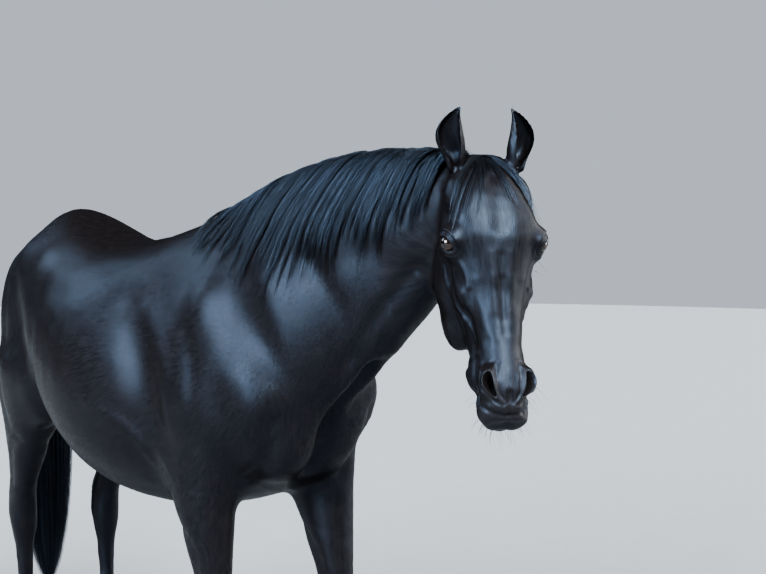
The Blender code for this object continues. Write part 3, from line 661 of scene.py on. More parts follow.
def shape_mouth(points, normals, tree):
    """Draws the line between the lips and rounds them."""
    for path in head_paths(MOUTH):
        path = [tree.find_nearest(point)[0] for point in row_through(path)]
        line = closeness(points, path, MOUTH_WIDE)
        lips = closeness(points, path, LIPS_WIDE)
        points = points - normals * (MOUTH_DEEP * line - LIPS_HIGH * lips)[:, None]
    return points


def refine(bm, centre, reach):
    """Halves the squares of the skin's net within reach of a point."""
    edges = [edge for edge in bm.edges if (edge.verts[0].co - centre).length < reach]
    bmesh.ops.subdivide_edges(bm, edges=edges, cuts=1, use_grid_fill=True)


def neck_seam():
    """A point on the neck behind the throat, and the way towards the head."""
    crest = at(*SEAM_CREST)
    gullet = at(*SEAM_GULLET)
    along = (gullet - crest).normalized()
    normal = along.cross(side_axis(FORE_TURN)).normalized()
    ahead = Vector((math.sin(FORE_TURN), -math.cos(FORE_TURN), 0.0))
    return (crest + gullet) / 2, normal if normal.dot(ahead) > 0 else -normal


def cut_off(bm, point, normal):
    """Removes what lies ahead of a plane."""
    geom = bm.verts[:] + bm.edges[:] + bm.faces[:]
    bmesh.ops.bisect_plane(bm, geom=geom, plane_co=point, plane_no=normal, clear_outer=True)
    keep_largest(bm)


def body_weight(points):
    """Rubs the trunk and neck more than the legs."""
    return 0.25 + 0.75 * ramp(points[:, 2], 0.62, 0.95)


def head_weight(points):
    """Rubs the ears hardly at all, and the rest fully."""
    places = head_places(points)
    return 1.0 - 0.97 * ramp(places[:, 2], 0.012, 0.030) * ramp(np.abs(places[:, 0]), 0.035, 0.050)


def finished(form, name):
    """A smooth-shaded mesh of a form, which isn't needed after that."""
    for face in form.faces:
        face.smooth = True
    mesh = bpy.data.meshes.new(name)
    form.to_mesh(mesh)
    form.free()
    return mesh


def body_form(net, seam, ahead):
    """The trunk, the legs and the neck up to the seam, as one even net."""
    body = remeshed(joined(BODY_FLESH, SOLID_GROWTH), net)
    (rounds, band), last = BODY_FAIRING
    fair(body, rounds, band, body_weight)
    fair(body, *last)
    raise_relief(body, fine=False)
    cut_off(body, seam, ahead)
    return body


def head_form(net, seam, ahead):
    """The head and ears as one finer net, with lids, nostrils and mouth."""
    head = remeshed(joined(HEAD_FLESH, SOLID_GROWTH), net)
    cut_off(head, seam - ahead * SEAM_MARGIN, -ahead)
    (rounds, band), last = HEAD_FAIRING
    fair(head, rounds, band, head_weight)
    fair(head, *last)
    raise_relief(head, fine=True)
    for side, sign in SIDES.items():
        refine(head, box_centre("eye_" + side), FINER_REACH)
        refine(head, HEAD @ Vector((sign * NOSTRIL.x, NOSTRIL.y, NOSTRIL.z)), FINER_REACH)
    normals = np.array([vert.normal[:] for vert in head.verts])
    points = shape_mouth(places_of(head), normals, skin_tree(head))
    place_all(head, shape_lids(shape_nostrils(points)))
    return head


def make_skin(sizes):
    """The whole skin: the body's net bridged to the head's and sunk by the coat's depth."""
    point, normal = neck_seam()
    gap = normal * (sizes.body_net * 0.5)
    body = body_form(sizes.body_net, point - gap, normal)
    head = head_form(sizes.head_net, point, normal)
    cut_off(head, point + gap, -normal)
    mesh = finished(head, "head form")
    body.from_mesh(mesh)
    bpy.data.meshes.remove(mesh)
    rims = [edge for edge in body.edges if edge.is_boundary]
    bmesh.ops.bridge_loops(body, edges=rims)
    bmesh.ops.recalc_face_normals(body, faces=body.faces)
    body.normal_update()
    for vert in body.verts:
        vert.co -= vert.normal * sizes.coat_depth
    bmesh.ops.triangulate(body, faces=[face for face in body.faces if len(face.verts) > 4])
    return finished(body, "skin")


# ---------------------------------------------------------------- hair and coat


# The tail: ahead of the withers, height, half its width, half its depth
TAIL_ROW = (
    (-1.040, 1.335, 0.040, 0.040),
    (-1.130, 1.354, 0.034, 0.034),
    (-1.195, 1.333, 0.040, 0.036),
    (-1.238, 1.250, 0.052, 0.042),
    (-1.258, 1.100, 0.070, 0.048),
    (-1.264, 0.900, 0.086, 0.052),
    (-1.258, 0.660, 0.090, 0.052),
    (-1.246, 0.440, 0.072, 0.044),
    (-1.236, 0.290, 0.044, 0.030),
    (-1.230, 0.205, 0.010, 0.008),
)
# Shares of the tail's length between which its strands leave the dock
DOCK_START = 0.055
DOCK_END = 0.30
TAIL_CUT = (-1.160, 0.0, 1.345)
TAIL_STEPS = 13
CORE_INSET = 0.010
CORE_NET = 0.008
CORE_OVERLAP = 0.055
CORE_STRETCH = 0.035
# Along the crest: ahead of the withers, then how far left of the body's middle
CREST = ((0.08, 0.002), (0.25, 0.010), (0.42, 0.028), (0.58, 0.048), (0.72, 0.062), (0.83, 0.064))
# Ahead of the withers, then the length of the mane's hair there
MANE_LENGTHS = ((0.08, 0.17), (0.25, 0.29), (0.45, 0.40), (0.62, 0.39), (0.75, 0.29), (0.84, 0.21))
MANE_STEPS = 10
MANE_BACK_END = -0.05
MANE_LAYERS = (
    # name, share of a strand's width, height over the skin, rise where it leaves the crest
    ("mane_under", 1.3, 0.004, 0.012),
    ("mane_over", 0.8, 0.009, 0.017),
)
# How far from a clump's own root its strands start: ahead or behind, to the right, to the left
STRANDS_AHEAD = 0.0085
STRANDS_RIGHT = 0.012
STRANDS_LEFT = 0.010
MANE_ROOT_DEPTH = 0.008
# Along a lock: share of its length, then share of its width
LOCK_PROFILE = ((0.0, 0.75), (0.35, 1.0), (0.75, 0.65), (1.0, 0.05))
LOCK_SIDES = 3
# Shares of a strand's width
FORELOCK_WIDTH = 0.95
TAIL_WIDTH = 1.15
LOCK_FLATNESS = 0.6
# Down a tuft, as shares of its length and lift: along the coat, and off the skin
TUFT_COURSE = ((0.0, -0.6), (0.50, 0.75), (1.0, 0.9))
TUFT_PROFILE = (1.0, 0.8, 0.0)
TUFT_FLATNESS = 0.25
TUFT_SOFTNESS = 0.97
PATCH = 0.003


def draws(kind, number=0):
    """The random numbers of one kind of hair."""
    return np.random.default_rng(SEEDS[kind] + number)


def attribute(mesh, name, values):
    """Gives each vertex a value that the materials read by name."""
    layer = mesh.attributes.new(name, "FLOAT", "POINT")
    layer.data.foreach_set("value", np.ascontiguousarray(values, dtype=np.float32).ravel())


def uv_map(mesh, name, places):
    """Gives each corner the place of its vertex on the flat plan."""
    corners = np.empty(len(mesh.loops), dtype=np.int32)
    mesh.loops.foreach_get("vertex_index", corners)
    layer = mesh.uv_layers.new(name=name)
    layer.data.foreach_set("uv", places[corners].astype(np.float32).ravel())


def locks(name, paths, ups, wide, thick, patches, tints, soft=0.0):
    """One mesh of closed locks, each tapering along its own path.

    Paths and ups hold locks x points x 3, wide and thick hold locks x points. Soft is how far
    the locks take the light as the skin below does."""
    count, steps = paths.shape[:2]
    ways = unit(np.gradient(paths, axis=1))
    across = unit(np.cross(ways, ups))
    square = np.cross(across, ways)
    sides = LOCK_SIDES
    turns = np.arange(sides) * (2.0 * math.pi / sides) + math.pi / 2
    flat = across[:, :-1, None] * (np.cos(turns)[:, None] * wide[:, :-1, None, None])
    tall = square[:, :-1, None] * (np.sin(turns)[:, None] * thick[:, :-1, None, None])
    rings = (paths[:, :-1, None] + flat + tall).reshape(count, -1, 3)
    points = np.concatenate([rings, paths[:, -1:]], axis=1)
    size = points.shape[1]
    base = np.arange(count)[:, None, None, None] * size
    ring = np.arange(steps - 2)[:, None, None] * sides
    first = np.arange(sides)
    second = (first + 1) % sides
    quad = np.stack([first, first + sides, second + sides, second], axis=1)
    quads = (base + ring[None] + quad[None, None]).reshape(-1, 4)
    last = (steps - 2) * sides
    tip = np.stack([first + last, np.full(sides, size - 1), second + last], axis=1)
    tips = (base[:, 0] + tip[None]).reshape(-1, 3)
    caps = (base[:, 0, 0] + first[None]).reshape(-1, sides)
    mesh = bpy.data.meshes.new(name)
    mesh.from_pydata(points.reshape(-1, 3), [], quads.tolist() + tips.tolist() + caps.tolist())
    along = np.append(np.repeat(np.arange(steps - 1), sides), steps - 1) / (steps - 1)
    aside = np.append(np.tile(0.5 + 0.5 * np.cos(turns), steps - 1), 0.5)
    spread = np.stack([aside, along], axis=1) * PATCH
    uv_map(mesh, "OFBake", (patches[:, None] + spread[None]).reshape(-1, 2))
    attribute(mesh, "tint", np.repeat(tints, size))
    attribute(mesh, "along", np.tile(along, count))
    mesh.polygons.foreach_set("use_smooth", np.ones(len(mesh.polygons), dtype=bool))
    mesh.update()
    if soft > 0.0:
        own = across[:, :-1, None] * np.cos(turns)[:, None] + square[:, :-1, None] * np.sin(turns)[:, None]
        own = np.concatenate([own.reshape(count, -1, 3), ways[:, -1:]], axis=1)
        skin = np.concatenate([np.repeat(ups[:, :-1], sides, axis=1), ups[:, -1:]], axis=1)
        blended = unit(own * (1.0 - soft) + skin * soft).reshape(-1, 3)
        mesh.normals_split_custom_set_from_vertices(blended.tolist())
    return mesh


LEG_ROWS = {leg: leg_middles(leg) for leg in LEGS}


def leg_of(points):
    """Which leg each point is nearest to, and its place round that leg's middle."""
    best = np.full(len(points), 1e9)
    index = np.zeros(len(points), dtype=int)
    aside = np.zeros((len(points), 2))
    for number, leg in enumerate(LEGS):
        away = points[:, :2] - np.stack(leg_middle(LEG_ROWS[leg], points[:, 2]), axis=1)
        gap = np.einsum("ij,ij->i", away, away)
        near = gap < best
        best[near] = gap[near]
        index[near] = number
        aside[near] = away[near]
    return index, aside


LEG_TOP = 0.80
TRUNK_AXIS = 1.12
NECK_RISE = 0.36


def plan(points):
    """Where each point of the skin lies when the skin is laid out flat.

    Gives the region (0 body, 1 head, 2 leg), the turn round that region's middle, the distance
    along it, and a place on a square sheet that holds the body, the head and the four legs."""
    spine, _ = body_places(points)
    middle = TRUNK_AXIS + NECK_RISE * ramp(spine[:, 0], 0.15, 0.85)
    turn = np.arctan2(spine[:, 1], spine[:, 2] - middle)
    along = spine[:, 0]
    sheet = np.stack([0.01 + 0.62 * (along + 1.35) / 2.45, 0.32 + 0.66 * (turn / math.tau + 0.5)], axis=1)
    region = np.zeros(len(points), dtype=int)
    head = on_head(points) > 0.5
    places = head_places(points[head])
    turn[head] = np.arctan2(places[:, 0], places[:, 1] + 0.10)
    along[head] = places[:, 2]
    sheet[head, 0] = 0.66 + 0.32 * (turn[head] / math.tau + 0.5)
    sheet[head, 1] = 0.34 + 0.62 * (places[:, 2] + 0.64) / 0.80
    region[head] = 1
    legs = (points[:, 2] < LEG_TOP) & ~head
    number, aside = leg_of(points[legs])
    turn[legs] = np.arctan2(aside[:, 0], aside[:, 1])
    along[legs] = points[legs, 2]
    sheet[legs, 0] = 0.01 + 0.245 * (number + 0.95 * (turn[legs] / math.tau + 0.5))
    sheet[legs, 1] = 0.01 + 0.27 * points[legs, 2] / LEG_TOP
    region[legs] = 2
    return region, turn, along, np.clip(sheet, 0.002, 0.994)


def lie(points):
    """The way the coat lies: down the face and legs, back and down over the body."""
    spine, fronts = body_places(points)
    down = np.array([0.0, 0.0, -1.0])
    way = -fronts * 0.85 + down * 0.50
    neck = ramp(spine[:, 0], 0.20, 0.50)[:, None]
    way = way * (1 - neck) + (down * 0.85 - fronts * 0.45) * neck
    leg = ramp(-points[:, 2], -0.95, -0.75)[:, None]
    way = way * (1 - leg) + (down - fronts * 0.12) * leg
    places = head_places(points)
    head = on_head(points)[:, None]
    whorl = places - np.array([0.0, 0.02, -0.15])
    face = np.stack(
        [whorl[:, 0] * 1.2, np.full(len(points), -0.05), np.minimum(whorl[:, 2], -0.03)], axis=1)
    ear = ramp(places[:, 2], 0.00, 0.03)[:, None] * ramp(np.abs(places[:, 0]), 0.025, 0.045)[:, None]
    face = unit(face) * (1 - ear) + np.array([0.0, 0.0, 1.0]) * ear
    way = unit(way) * (1 - head) + (face @ HEAD_AXES.T) * head
    return unit(way)


def net_arrays(mesh):
    """The place and the normal of every vertex."""
    rows = []
    for items, name in ((mesh.vertices, "co"), (mesh.vertex_normals, "vector")):
        values = np.empty(len(mesh.vertices) * 3, dtype=np.float32)
        items.foreach_get(name, values)
        rows.append(values.reshape(-1, 3).astype(float))
    return rows


def scatter(mesh, count, weight, random):
    """Random points of the skin, denser where the weight is greater, with their normals."""
    mesh.calc_loop_triangles()
    corners = np.empty(len(mesh.loop_triangles) * 3, dtype=np.int32)
    mesh.loop_triangles.foreach_get("vertices", corners)
    corners = corners.reshape(-1, 3)
    places, normals = net_arrays(mesh)
    sets = places[corners]
    area = np.linalg.norm(np.cross(sets[:, 1] - sets[:, 0], sets[:, 2] - sets[:, 0]), axis=1)
    chance = area * weight(sets.mean(axis=1))
    chosen = random.choice(len(corners), count, p=chance / chance.sum())
    one, two = random.random((2, count))
    over = one + two > 1.0
    one[over], two[over] = 1.0 - one[over], 1.0 - two[over]
    shares = np.stack([1.0 - one - two, one, two], axis=1)[:, :, None]
    points = (sets[chosen] * shares).sum(axis=1)
    ups = unit((normals[corners[chosen]] * shares).sum(axis=1))
    return points, ups


def tufts(name, points, ups, ways, length, width, lift, random):
    """Short flat locks that start under the skin's surface and lean out along the coat."""
    count = len(points)
    ways = ways + random.normal(0.0, 0.16, (count, 3))
    ways = unit(ways - ups * np.einsum("ij,ij->i", ways, ups)[:, None])
    length = (length * random.uniform(0.7, 1.25, count))[:, None]
    lift = (lift * random.uniform(0.5, 1.3, count))[:, None]
    course = [points + ways * length * along + ups * lift * off for along, off in TUFT_COURSE]
    paths = np.stack(course, axis=1)
    wide = (width * random.uniform(0.7, 1.3, count))[:, None] * np.array(TUFT_PROFILE)
    patches = plan(points)[3]
    normals = np.repeat(ups[:, None], len(TUFT_COURSE), axis=1)
    thick = wide * TUFT_FLATNESS
    tints = random.random(count)
    return locks(name, paths, normals, wide, thick, patches, tints, soft=TUFT_SOFTNESS)


def along_rows(rows, place):
    """The second value of rows of two, where their first value is at a given place."""
    return np.interp(place, [row[0] for row in rows], [row[1] for row in rows])


def crest_point(tree, ahead, aside):
    """Where the crest is on the skin, and the skin's normal there."""
    start = at(ahead, along_rows(CREST, ahead) + aside, 2.2)
    hit = tree.ray_cast(start, Vector((0.0, 0.0, -1.0)))
    return hit[0], hit[1]


def kept_near(tree, point, want, slack):
    """Lifts a point to the wanted height over the skin, or draws it down if it is well above."""
    near, normal, _, _ = tree.find_nearest(point)
    height = (point - near).dot(normal)
    if height < want:
        return near + normal * want
    if height > want * slack:
        return point + normal * (want * slack - height) * 0.6
    return point


def comb(tree, root, up, length, back, gap, crown):
    """A lock that rises off the crest and falls over the right side of the neck.

    It leans back less as it falls. It stays clear of the skin by the gap, and by the crown as
    well where it leaves the crest."""
    side = -side_axis(FORE_TURN)
    behind = -Vector((math.sin(FORE_TURN), -math.cos(FORE_TURN), 0.0))
    down = Vector((0.0, 0.0, -1.0))
    grown = np.linspace(0.0, 1.0, MANE_STEPS) ** 1.35 * length
    way = (side * 0.75 + behind * back * 0.6 + up * 0.9).normalized()
    points = [root]
    for index in range(1, MANE_STEPS):
        share = index / (MANE_STEPS - 1)
        step = grown[index] - grown[index - 1]
        fall = down + behind * (back + (MANE_BACK_END - back) * share) + side * 0.25
        way = (way * 0.45 + fall.normalized() * 0.6).normalized()
        rise = crown * math.exp(-((grown[index] - 0.035) / 0.07) ** 2)
        want = gap * min(1.0, 0.5 + share) + rise
        points.append(kept_near(tree, points[-1] + way * step, want, 1.3))
    return points


def clear_of_skin(tree, paths, gap):
    """Lifts the locks to at least the gap above the skin, and finds which way is up."""
    flat = paths.reshape(-1, 3)
    ups = np.empty_like(flat)
    heights = np.repeat(gap, paths.shape[1])
    for index, point in enumerate(flat):
        spot = Vector(point)
        near, normal, _, _ = tree.find_nearest(spot)
        height = (spot - near).dot(normal)
        if height < heights[index]:
            flat[index] = near + normal * heights[index]
        ups[index] = normal
    return flat.reshape(paths.shape), ups.reshape(paths.shape)


def tapered(count, steps, width, random):
    """Half widths along each lock: narrow at the root, full before the middle, fine at the tip."""
    profile = along_rows(LOCK_PROFILE, np.linspace(0.0, 1.0, steps))
    return (width * random.uniform(0.6, 1.3, count))[:, None] * profile


def shortened(path, stop):
    """The first part of a lock, in as many points."""
    rows = np.arange(len(path))
    return np.stack([np.interp(rows * stop, rows, path[:, axis]) for axis in range(3)], axis=1)


def mane_lock(tree, ahead, each, lift, crown, random):
    """One clump of the mane: strands that are drawn together towards its tip, and their heights."""
    start, end = CREST[0][0], CREST[-1][0]
    length = along_rows(MANE_LENGTHS, ahead) * random.uniform(0.82, 1.15)
    layer = lift * random.uniform(0.5, 1.3)
    root, up = crest_point(tree, ahead, 0.0)
    back = random.uniform(0.60, 0.85)
    rise = crown * random.uniform(0.75, 1.1)
    guide = np.array(comb(tree, root, up, length, back, layer, rise))
    share = np.linspace(0.0, 1.0, MANE_STEPS)
    draw = 1.0 - random.uniform(0.60, 0.90) * share ** 0.7
    spread_ahead = random.normal(0.0, STRANDS_AHEAD, each)
    spread_side = random.uniform(-STRANDS_RIGHT, STRANDS_LEFT, each)
    roots = []
    for gone, aside in zip(spread_ahead, spread_side):
        point, _ = crest_point(tree, min(max(ahead + gone, start - 0.03), end + 0.02), aside)
        roots.append(np.array(point))
    offsets = np.array(roots) - guide[0]
    wave = random.normal(0.0, 0.0012, (each, 3))[:, None] * np.sin(
        share * random.uniform(3.0, 7.0) + random.uniform(0.0, 6.0, (each, 1)))[:, :, None]
    paths = guide[None] + offsets[:, None] * draw[None, :, None] + wave * share[None, :, None]
    trim = random.uniform(0.72, 1.0, each)
    cut = np.array([shortened(path, stop) for path, stop in zip(paths, trim)])
    return cut, layer * random.uniform(0.25, 1.25, each)


def make_mane(name, tree, sizes, width, lift, crown, random):
    """One layer of the mane, in clumps from the withers to the poll."""
    clumps = sizes.mane_clumps
    each = sizes.mane_strands // clumps
    start, end = CREST[0][0], CREST[-1][0]
    locked = []
    for number in range(clumps):
        ahead = start + (end - start) * (number + random.uniform(-0.3, 0.3) + 0.5) / clumps
        locked.append(mane_lock(tree, ahead, each, lift, crown, random))
    paths, gaps = (np.concatenate(rows) for rows in zip(*locked))
    paths, ups = clear_of_skin(tree, paths, gaps)
    paths[:, 0] -= ups[:, 0] * MANE_ROOT_DEPTH
    wide = tapered(len(paths), MANE_STEPS, width, random)
    thick = wide * LOCK_FLATNESS
    patches = plan(paths[:, 0])[3]
    tints = np.repeat(random.random(clumps), each) * 0.5 + random.random(len(paths)) * 0.5
    return locks(name, paths, ups, wide, thick, patches, np.clip(tints, 0, 1), soft=0.25)


def tail_course(shares):
    """Middle, half width and half depth of the tail at shares of its length."""
    places = np.array([at(row[0], 0.0, row[1]) for row in TAIL_ROW])
    gone = np.append(0.0, np.cumsum(np.linalg.norm(np.diff(places, axis=0), axis=1)))
    gone /= gone[-1]
    columns = [*places.T, *np.array(TAIL_ROW)[:, 2:].T]
    return [np.interp(shares, gone, column) for column in columns]


def make_tail(sizes, random):
    """Strands that leave the dock on every side and hang together to a thin end."""
    count = sizes.tail_strands
    start = DOCK_START + (DOCK_END - DOCK_START) * random.random(count) ** 1.4
    end = 1.0 - np.abs(random.normal(0.0, 0.14, count))
    end = np.clip(end, 0.45, 1.0)
    share = np.linspace(0.0, 1.0, TAIL_STEPS)
    gone = start[:, None] + (end - start)[:, None] * share
    x, y, z, wide, deep = tail_course(gone)
    turn = random.uniform(0.0, math.tau, count)
    reach = np.sqrt(random.uniform(0.58, 1.0, count))
    open_out = np.minimum(1.0, 0.78 + 3.0 * share)[None]
    pace = random.uniform(8.0, 16.0, (count, 1))
    wave = 1.0 + 0.10 * np.sin(gone * pace + random.uniform(0, 6.0, (count, 1)))
    aside = (np.cos(turn) * reach)[:, None] * wide * open_out * wave
    fore = (np.sin(turn) * reach)[:, None] * deep * open_out * wave
    side = np.array(side_axis(HIND_TURN))
    middle = np.stack([x, y, z], axis=2)
    inner = unit(np.cross(np.gradient(middle, axis=1), side))
    paths = middle + aside[:, :, None] * side + fore[:, :, None] * inner
    ups = unit(np.cos(turn)[:, None, None] * side + np.sin(turn)[:, None, None] * inner)
    half = tapered(count, TAIL_STEPS, sizes.strand_width * TAIL_WIDTH, random)
    sheet = np.stack([0.02 + 0.9 * start, 0.05 + 0.85 * turn / math.tau], axis=1)
    thick = half * LOCK_FLATNESS
    return locks("tail_hair", paths, ups, half, thick, sheet, random.random(count))


def smooth_form(node, grow, voxel, rounds, band):
    """A smoother form of one solid, grown or shrunk a little."""
    form = remeshed(joined((node,), grow), voxel)
    fair(form, rounds, band)
    return form


def make_tail_core():
    """The dock and the tail's dark middle, drawn out into the quarters so that no gap shows."""
    core = smooth_form("tail", -CORE_INSET, CORE_NET, 20, 0.06)
    side = side_axis(HIND_TURN)
    behind = Vector((-side.y, side.x, 0.0))
    cut = at(*TAIL_CUT)
    for vert in core.verts:
        beyond = (vert.co - cut) @ behind
        if vert.co.z > cut.z - 0.10:
            vert.co -= behind * CORE_OVERLAP * max(0.0, 1.0 - beyond / CORE_STRETCH)
    mesh = finished(core, "tail_core")
    attribute(mesh, "tint", np.full(len(mesh.vertices), 0.3))
    attribute(mesh, "along", np.zeros(len(mesh.vertices)))
    return mesh


def march(tree, root, way, falls, step, gap):
    """A lock that starts one way, is drawn along the given falls, and stays near the skin."""
    points = [root]
    for index, fall in enumerate(falls):
        share = (index + 1) / len(falls)
        way = (way * (1.0 - FORELOCK_PULL) + fall * FORELOCK_PULL).normalized()
        want = gap * min(1.0, 0.4 + share)
        slack = 1.5 if share > 0.2 else math.inf
        points.append(kept_near(tree, points[-1] + way * step, want, slack))
    return points


FORELOCK_BUNCHES = (
    # locklets, sideways drift, spread of it, length
    (7, -0.44, 0.12, 0.240),
    (7, 0.30, 0.10, 0.220),
    (3, -0.12, 0.14, 0.110),
    (3, 0.20, 0.14, 0.130),
)
FORELOCK_STEPS = 9
FORELOCK_PULL = 0.55
FORELOCK_ROOT_DEPTH = 0.005
FORELOCK_CLEARANCE = 0.0010


def forelock_locklet(tree, drift, spread, length, each, random):
    """The strands of one locklet that drifts to a side as it falls over the forehead."""
    turned = HEAD.to_3x3()
    share = np.linspace(0.0, 1.0, FORELOCK_STEPS)
    aside = random.uniform(-0.022, 0.022) + drift * 0.012
    start = HEAD @ Vector((aside, random.uniform(-0.045, 0.000), 0.020))
    root, up, _, _ = tree.find_nearest(start)
    lean = drift + random.normal(0.0, spread)
    reach = length * random.uniform(0.70, 1.15)
    falls = []
    for index in range(FORELOCK_STEPS - 1):
        out = lean * (1.0 - 0.45 * index / FORELOCK_STEPS)
        falls.append((turned @ Vector((out, 0.0, -1.0))).normalized())
    way = (up * 0.9 + falls[0]).normalized()
    gap = random.uniform(0.004, 0.010)
    step = reach / (FORELOCK_STEPS - 1)
    guide = np.array([point[:] for point in march(tree, root, way, falls, step, gap)])
    across = np.array(turned @ Vector((1.0, 0.0, 0.0)))
    offsets = random.normal(0.0, 0.0040, each)
    fan = 1.0 - random.uniform(-0.5, 0.7, each)[:, None] * share
    strands = guide[None] + (offsets[:, None] * fan)[:, :, None] * across
    strands += (random.normal(0.0, 0.0010, (each, 1)) * share)[:, :, None] * np.array(up)
    trim = random.uniform(0.6, 1.0, each)
    return [shortened(strand, stop) for strand, stop in zip(strands, trim)]


def make_forelock(tree, sizes, random):
    """Thin locklets that part over the forehead from between the ears."""
    each = sizes.forelock_strands // sum(bunch[0] for bunch in FORELOCK_BUNCHES)
    paths = []
    for count, drift, spread, length in FORELOCK_BUNCHES:
        for _ in range(count):
            paths += forelock_locklet(tree, drift, spread, length, each, random)
    paths = np.array(paths)
    paths, ups = clear_of_skin(tree, paths, np.full(len(paths), FORELOCK_CLEARANCE))
    paths[:, 0] -= ups[:, 0] * FORELOCK_ROOT_DEPTH
    wide = tapered(len(paths), FORELOCK_STEPS, sizes.strand_width * FORELOCK_WIDTH, random)
    thick = wide * LOCK_FLATNESS
    patches = plan(paths[:, 0])[3]
    return locks("forelock_hair", paths, ups, wide, thick, patches, random.random(len(paths)))


def single_hairs(name, paths, ups, width, random):
    """Round hairs along the given paths, fine at the tip."""
    paths = np.array(paths)
    wide = tapered(*paths.shape[:2], width, random)
    patches = plan(paths[:, 0])[3]
    return locks(name, paths, np.array(ups), wide, wide, patches, random.random(len(paths)))


LASHES = 44
LASH_FIRST = math.radians(28)
LASH_LAST = math.radians(150)
LASH_STEPS = 5
LASH_WIDTH = 0.00022


def make_lashes(random):
    """Lashes along each upper lid, bending down."""
    share = np.linspace(0.0, 1.0, LASH_STEPS)[:, None]
    paths = []
    ups = []
    for side in SIDES:
        centre, gaze, long_axis, tall = eye_frame(side)
        for turn in np.linspace(LASH_FIRST, LASH_LAST, LASHES):
            turn += random.normal(0.0, 0.02)
            across = long_axis * math.cos(turn) * LID_LONG * 0.99
            root = centre + across + tall * math.sin(turn) * LID_TALL * 1.06
            spread = min(np.linalg.norm(root - centre), EYE_RADIUS * 0.98)
            root = root + gaze * (math.sqrt(EYE_RADIUS ** 2 - spread ** 2) + LID_THICK * 0.4)
            length = random.uniform(0.009, 0.016) * (0.6 + 0.4 * math.sin(turn))
            fan = long_axis * (math.cos(turn) * 0.5 + random.normal(0.0, 0.08))
            first = unit(gaze * 0.9 + fan + tall * 0.15)
            last = unit(gaze * 0.75 + fan - tall * 0.75)
            path = root + (first * (share - 0.5 * share ** 2) + last * 0.5 * share ** 2) * length
            paths.append(path)
            ups.append(np.tile(tall, (LASH_STEPS, 1)))
    return single_hairs("lashes", paths, ups, LASH_WIDTH, random)


WHISKER_STEPS = 6
WHISKER_WIDTH = 0.00028
WHISKER_PLACES = (
    # from the middle of the head, how many, how far they scatter, length
    ((0.046, -0.055, -0.555), 14, 0.020, 0.034),
    ((0.034, -0.080, -0.585), 10, 0.018, 0.030),
    ((0.018, -0.105, -0.585), 9, 0.018, 0.034),
    ((0.050, -0.040, -0.500), 5, 0.016, 0.022),
    ((0.112, -0.060, -0.245), 3, 0.012, 0.028),
)


def make_whiskers(tree, random):
    """Long single hairs of the muzzle, the chin and below the eyes."""
    turned = HEAD.to_3x3()
    up_face = (turned @ Vector((0.0, 1.0, 0.3))).normalized()[:]
    paths = []
    for place, count, scatter_by, length in WHISKER_PLACES:
        for side in SIDES.values():
            for _ in range(count):
                away = Vector(random.normal(0.0, scatter_by, 3))
                spot = HEAD @ (Vector((side * place[0], place[1], place[2])) + away)
                root, up, _, _ = tree.find_nearest(spot)
                droop = turned @ Vector((side * 0.15, 0.25, -0.75))
                reach = length * random.uniform(0.5, 1.3)
                jitter = Vector(random.normal(0.0, 0.15, 3))
                row = []
                for index in range(WHISKER_STEPS):
                    share = index / (WHISKER_STEPS - 1)
                    way = up * (share - 0.35 * share ** 2) + (droop + jitter) * 0.7 * share ** 2
                    row.append((root - up * 0.001 + way * reach)[:])
                paths.append(row)
    ups = [[up_face] * WHISKER_STEPS] * len(paths)
    return single_hairs("whiskers", paths, ups, WHISKER_WIDTH, random)


# The fringe over the hooves: how high it is looked for, how near a hoof it grows, its tufts
CORONET_TOP = 0.20
CORONET_REACH = 0.011
CORONET_TUFTS = 6000
CORONET_SIZE = (0.0150, 0.00038, 0.0016)


def make_coronets(skin, hooves, random):
    """The fringe that hangs from the skin over the top edge of each hoof."""
    trees = [tree_of(mesh) for mesh in hooves.values()]

    def weight(points):
        share = np.full(len(points), 1e-12)
        for index in np.flatnonzero(points[:, 2] < CORONET_TOP):
            gaps = [tree.find_nearest(points[index])[3] for tree in trees]
            share[index] += min(gaps) < CORONET_REACH
        return share

    points, normals = scatter(skin, CORONET_TUFTS, weight, random)
    centres = np.array([box_centre(node) for node in hooves])
    nearest = np.linalg.norm(points[:, None, :2] - centres[None, :, :2], axis=2).argmin(axis=1)
    out = points - centres[nearest]
    out[:, 2] = 0.0
    out = unit(out)
    kept = np.einsum("ij,ij->i", normals, out) > 0.35
    points, out = points[kept], out[kept]
    ups = unit(out + np.array([0.0, 0.0, 0.35]))
    ways = unit(out * 0.25 - np.array([0.0, 0.0, 1.0]))
    return tufts("coronet_hair", points, ups, ways, *CORONET_SIZE, random)


EAR_TUFTS = 2600
EAR_TUFT_WIDTH = 0.00030
EAR_TUFT_LIFT = 0.0040


def make_ear_hair(skin, random):
    """Fine hair inside the ears, pointing up and out of them."""
    def weight(points):
        height = head_places(points)[:, 2]
        return ramp(height, 0.030, 0.045) * ramp(-height, -0.160, -0.120)

    points, normals = scatter(skin, EAR_TUFTS, weight, random)
    inside = normals @ HEAD_AXES[:, 1] > 0.25
    points, normals = points[inside], normals[inside]
    ways = HEAD_AXES[:, 2] * 0.9 + HEAD_AXES[:, 1] * 0.35
    ways = unit(ways + random.normal(0.0, 0.12, points.shape))
    length = random.uniform(0.010, 0.020, len(points))
    return tufts("ear_hair", points, normals, ways, length, EAR_TUFT_WIDTH, EAR_TUFT_LIFT, random)


# ---------------------------------------------------------------- eyes and hooves


CORNEA_RISE = 0.0016
SOLE_BAND = 0.0022
HOOF_NET = 0.003


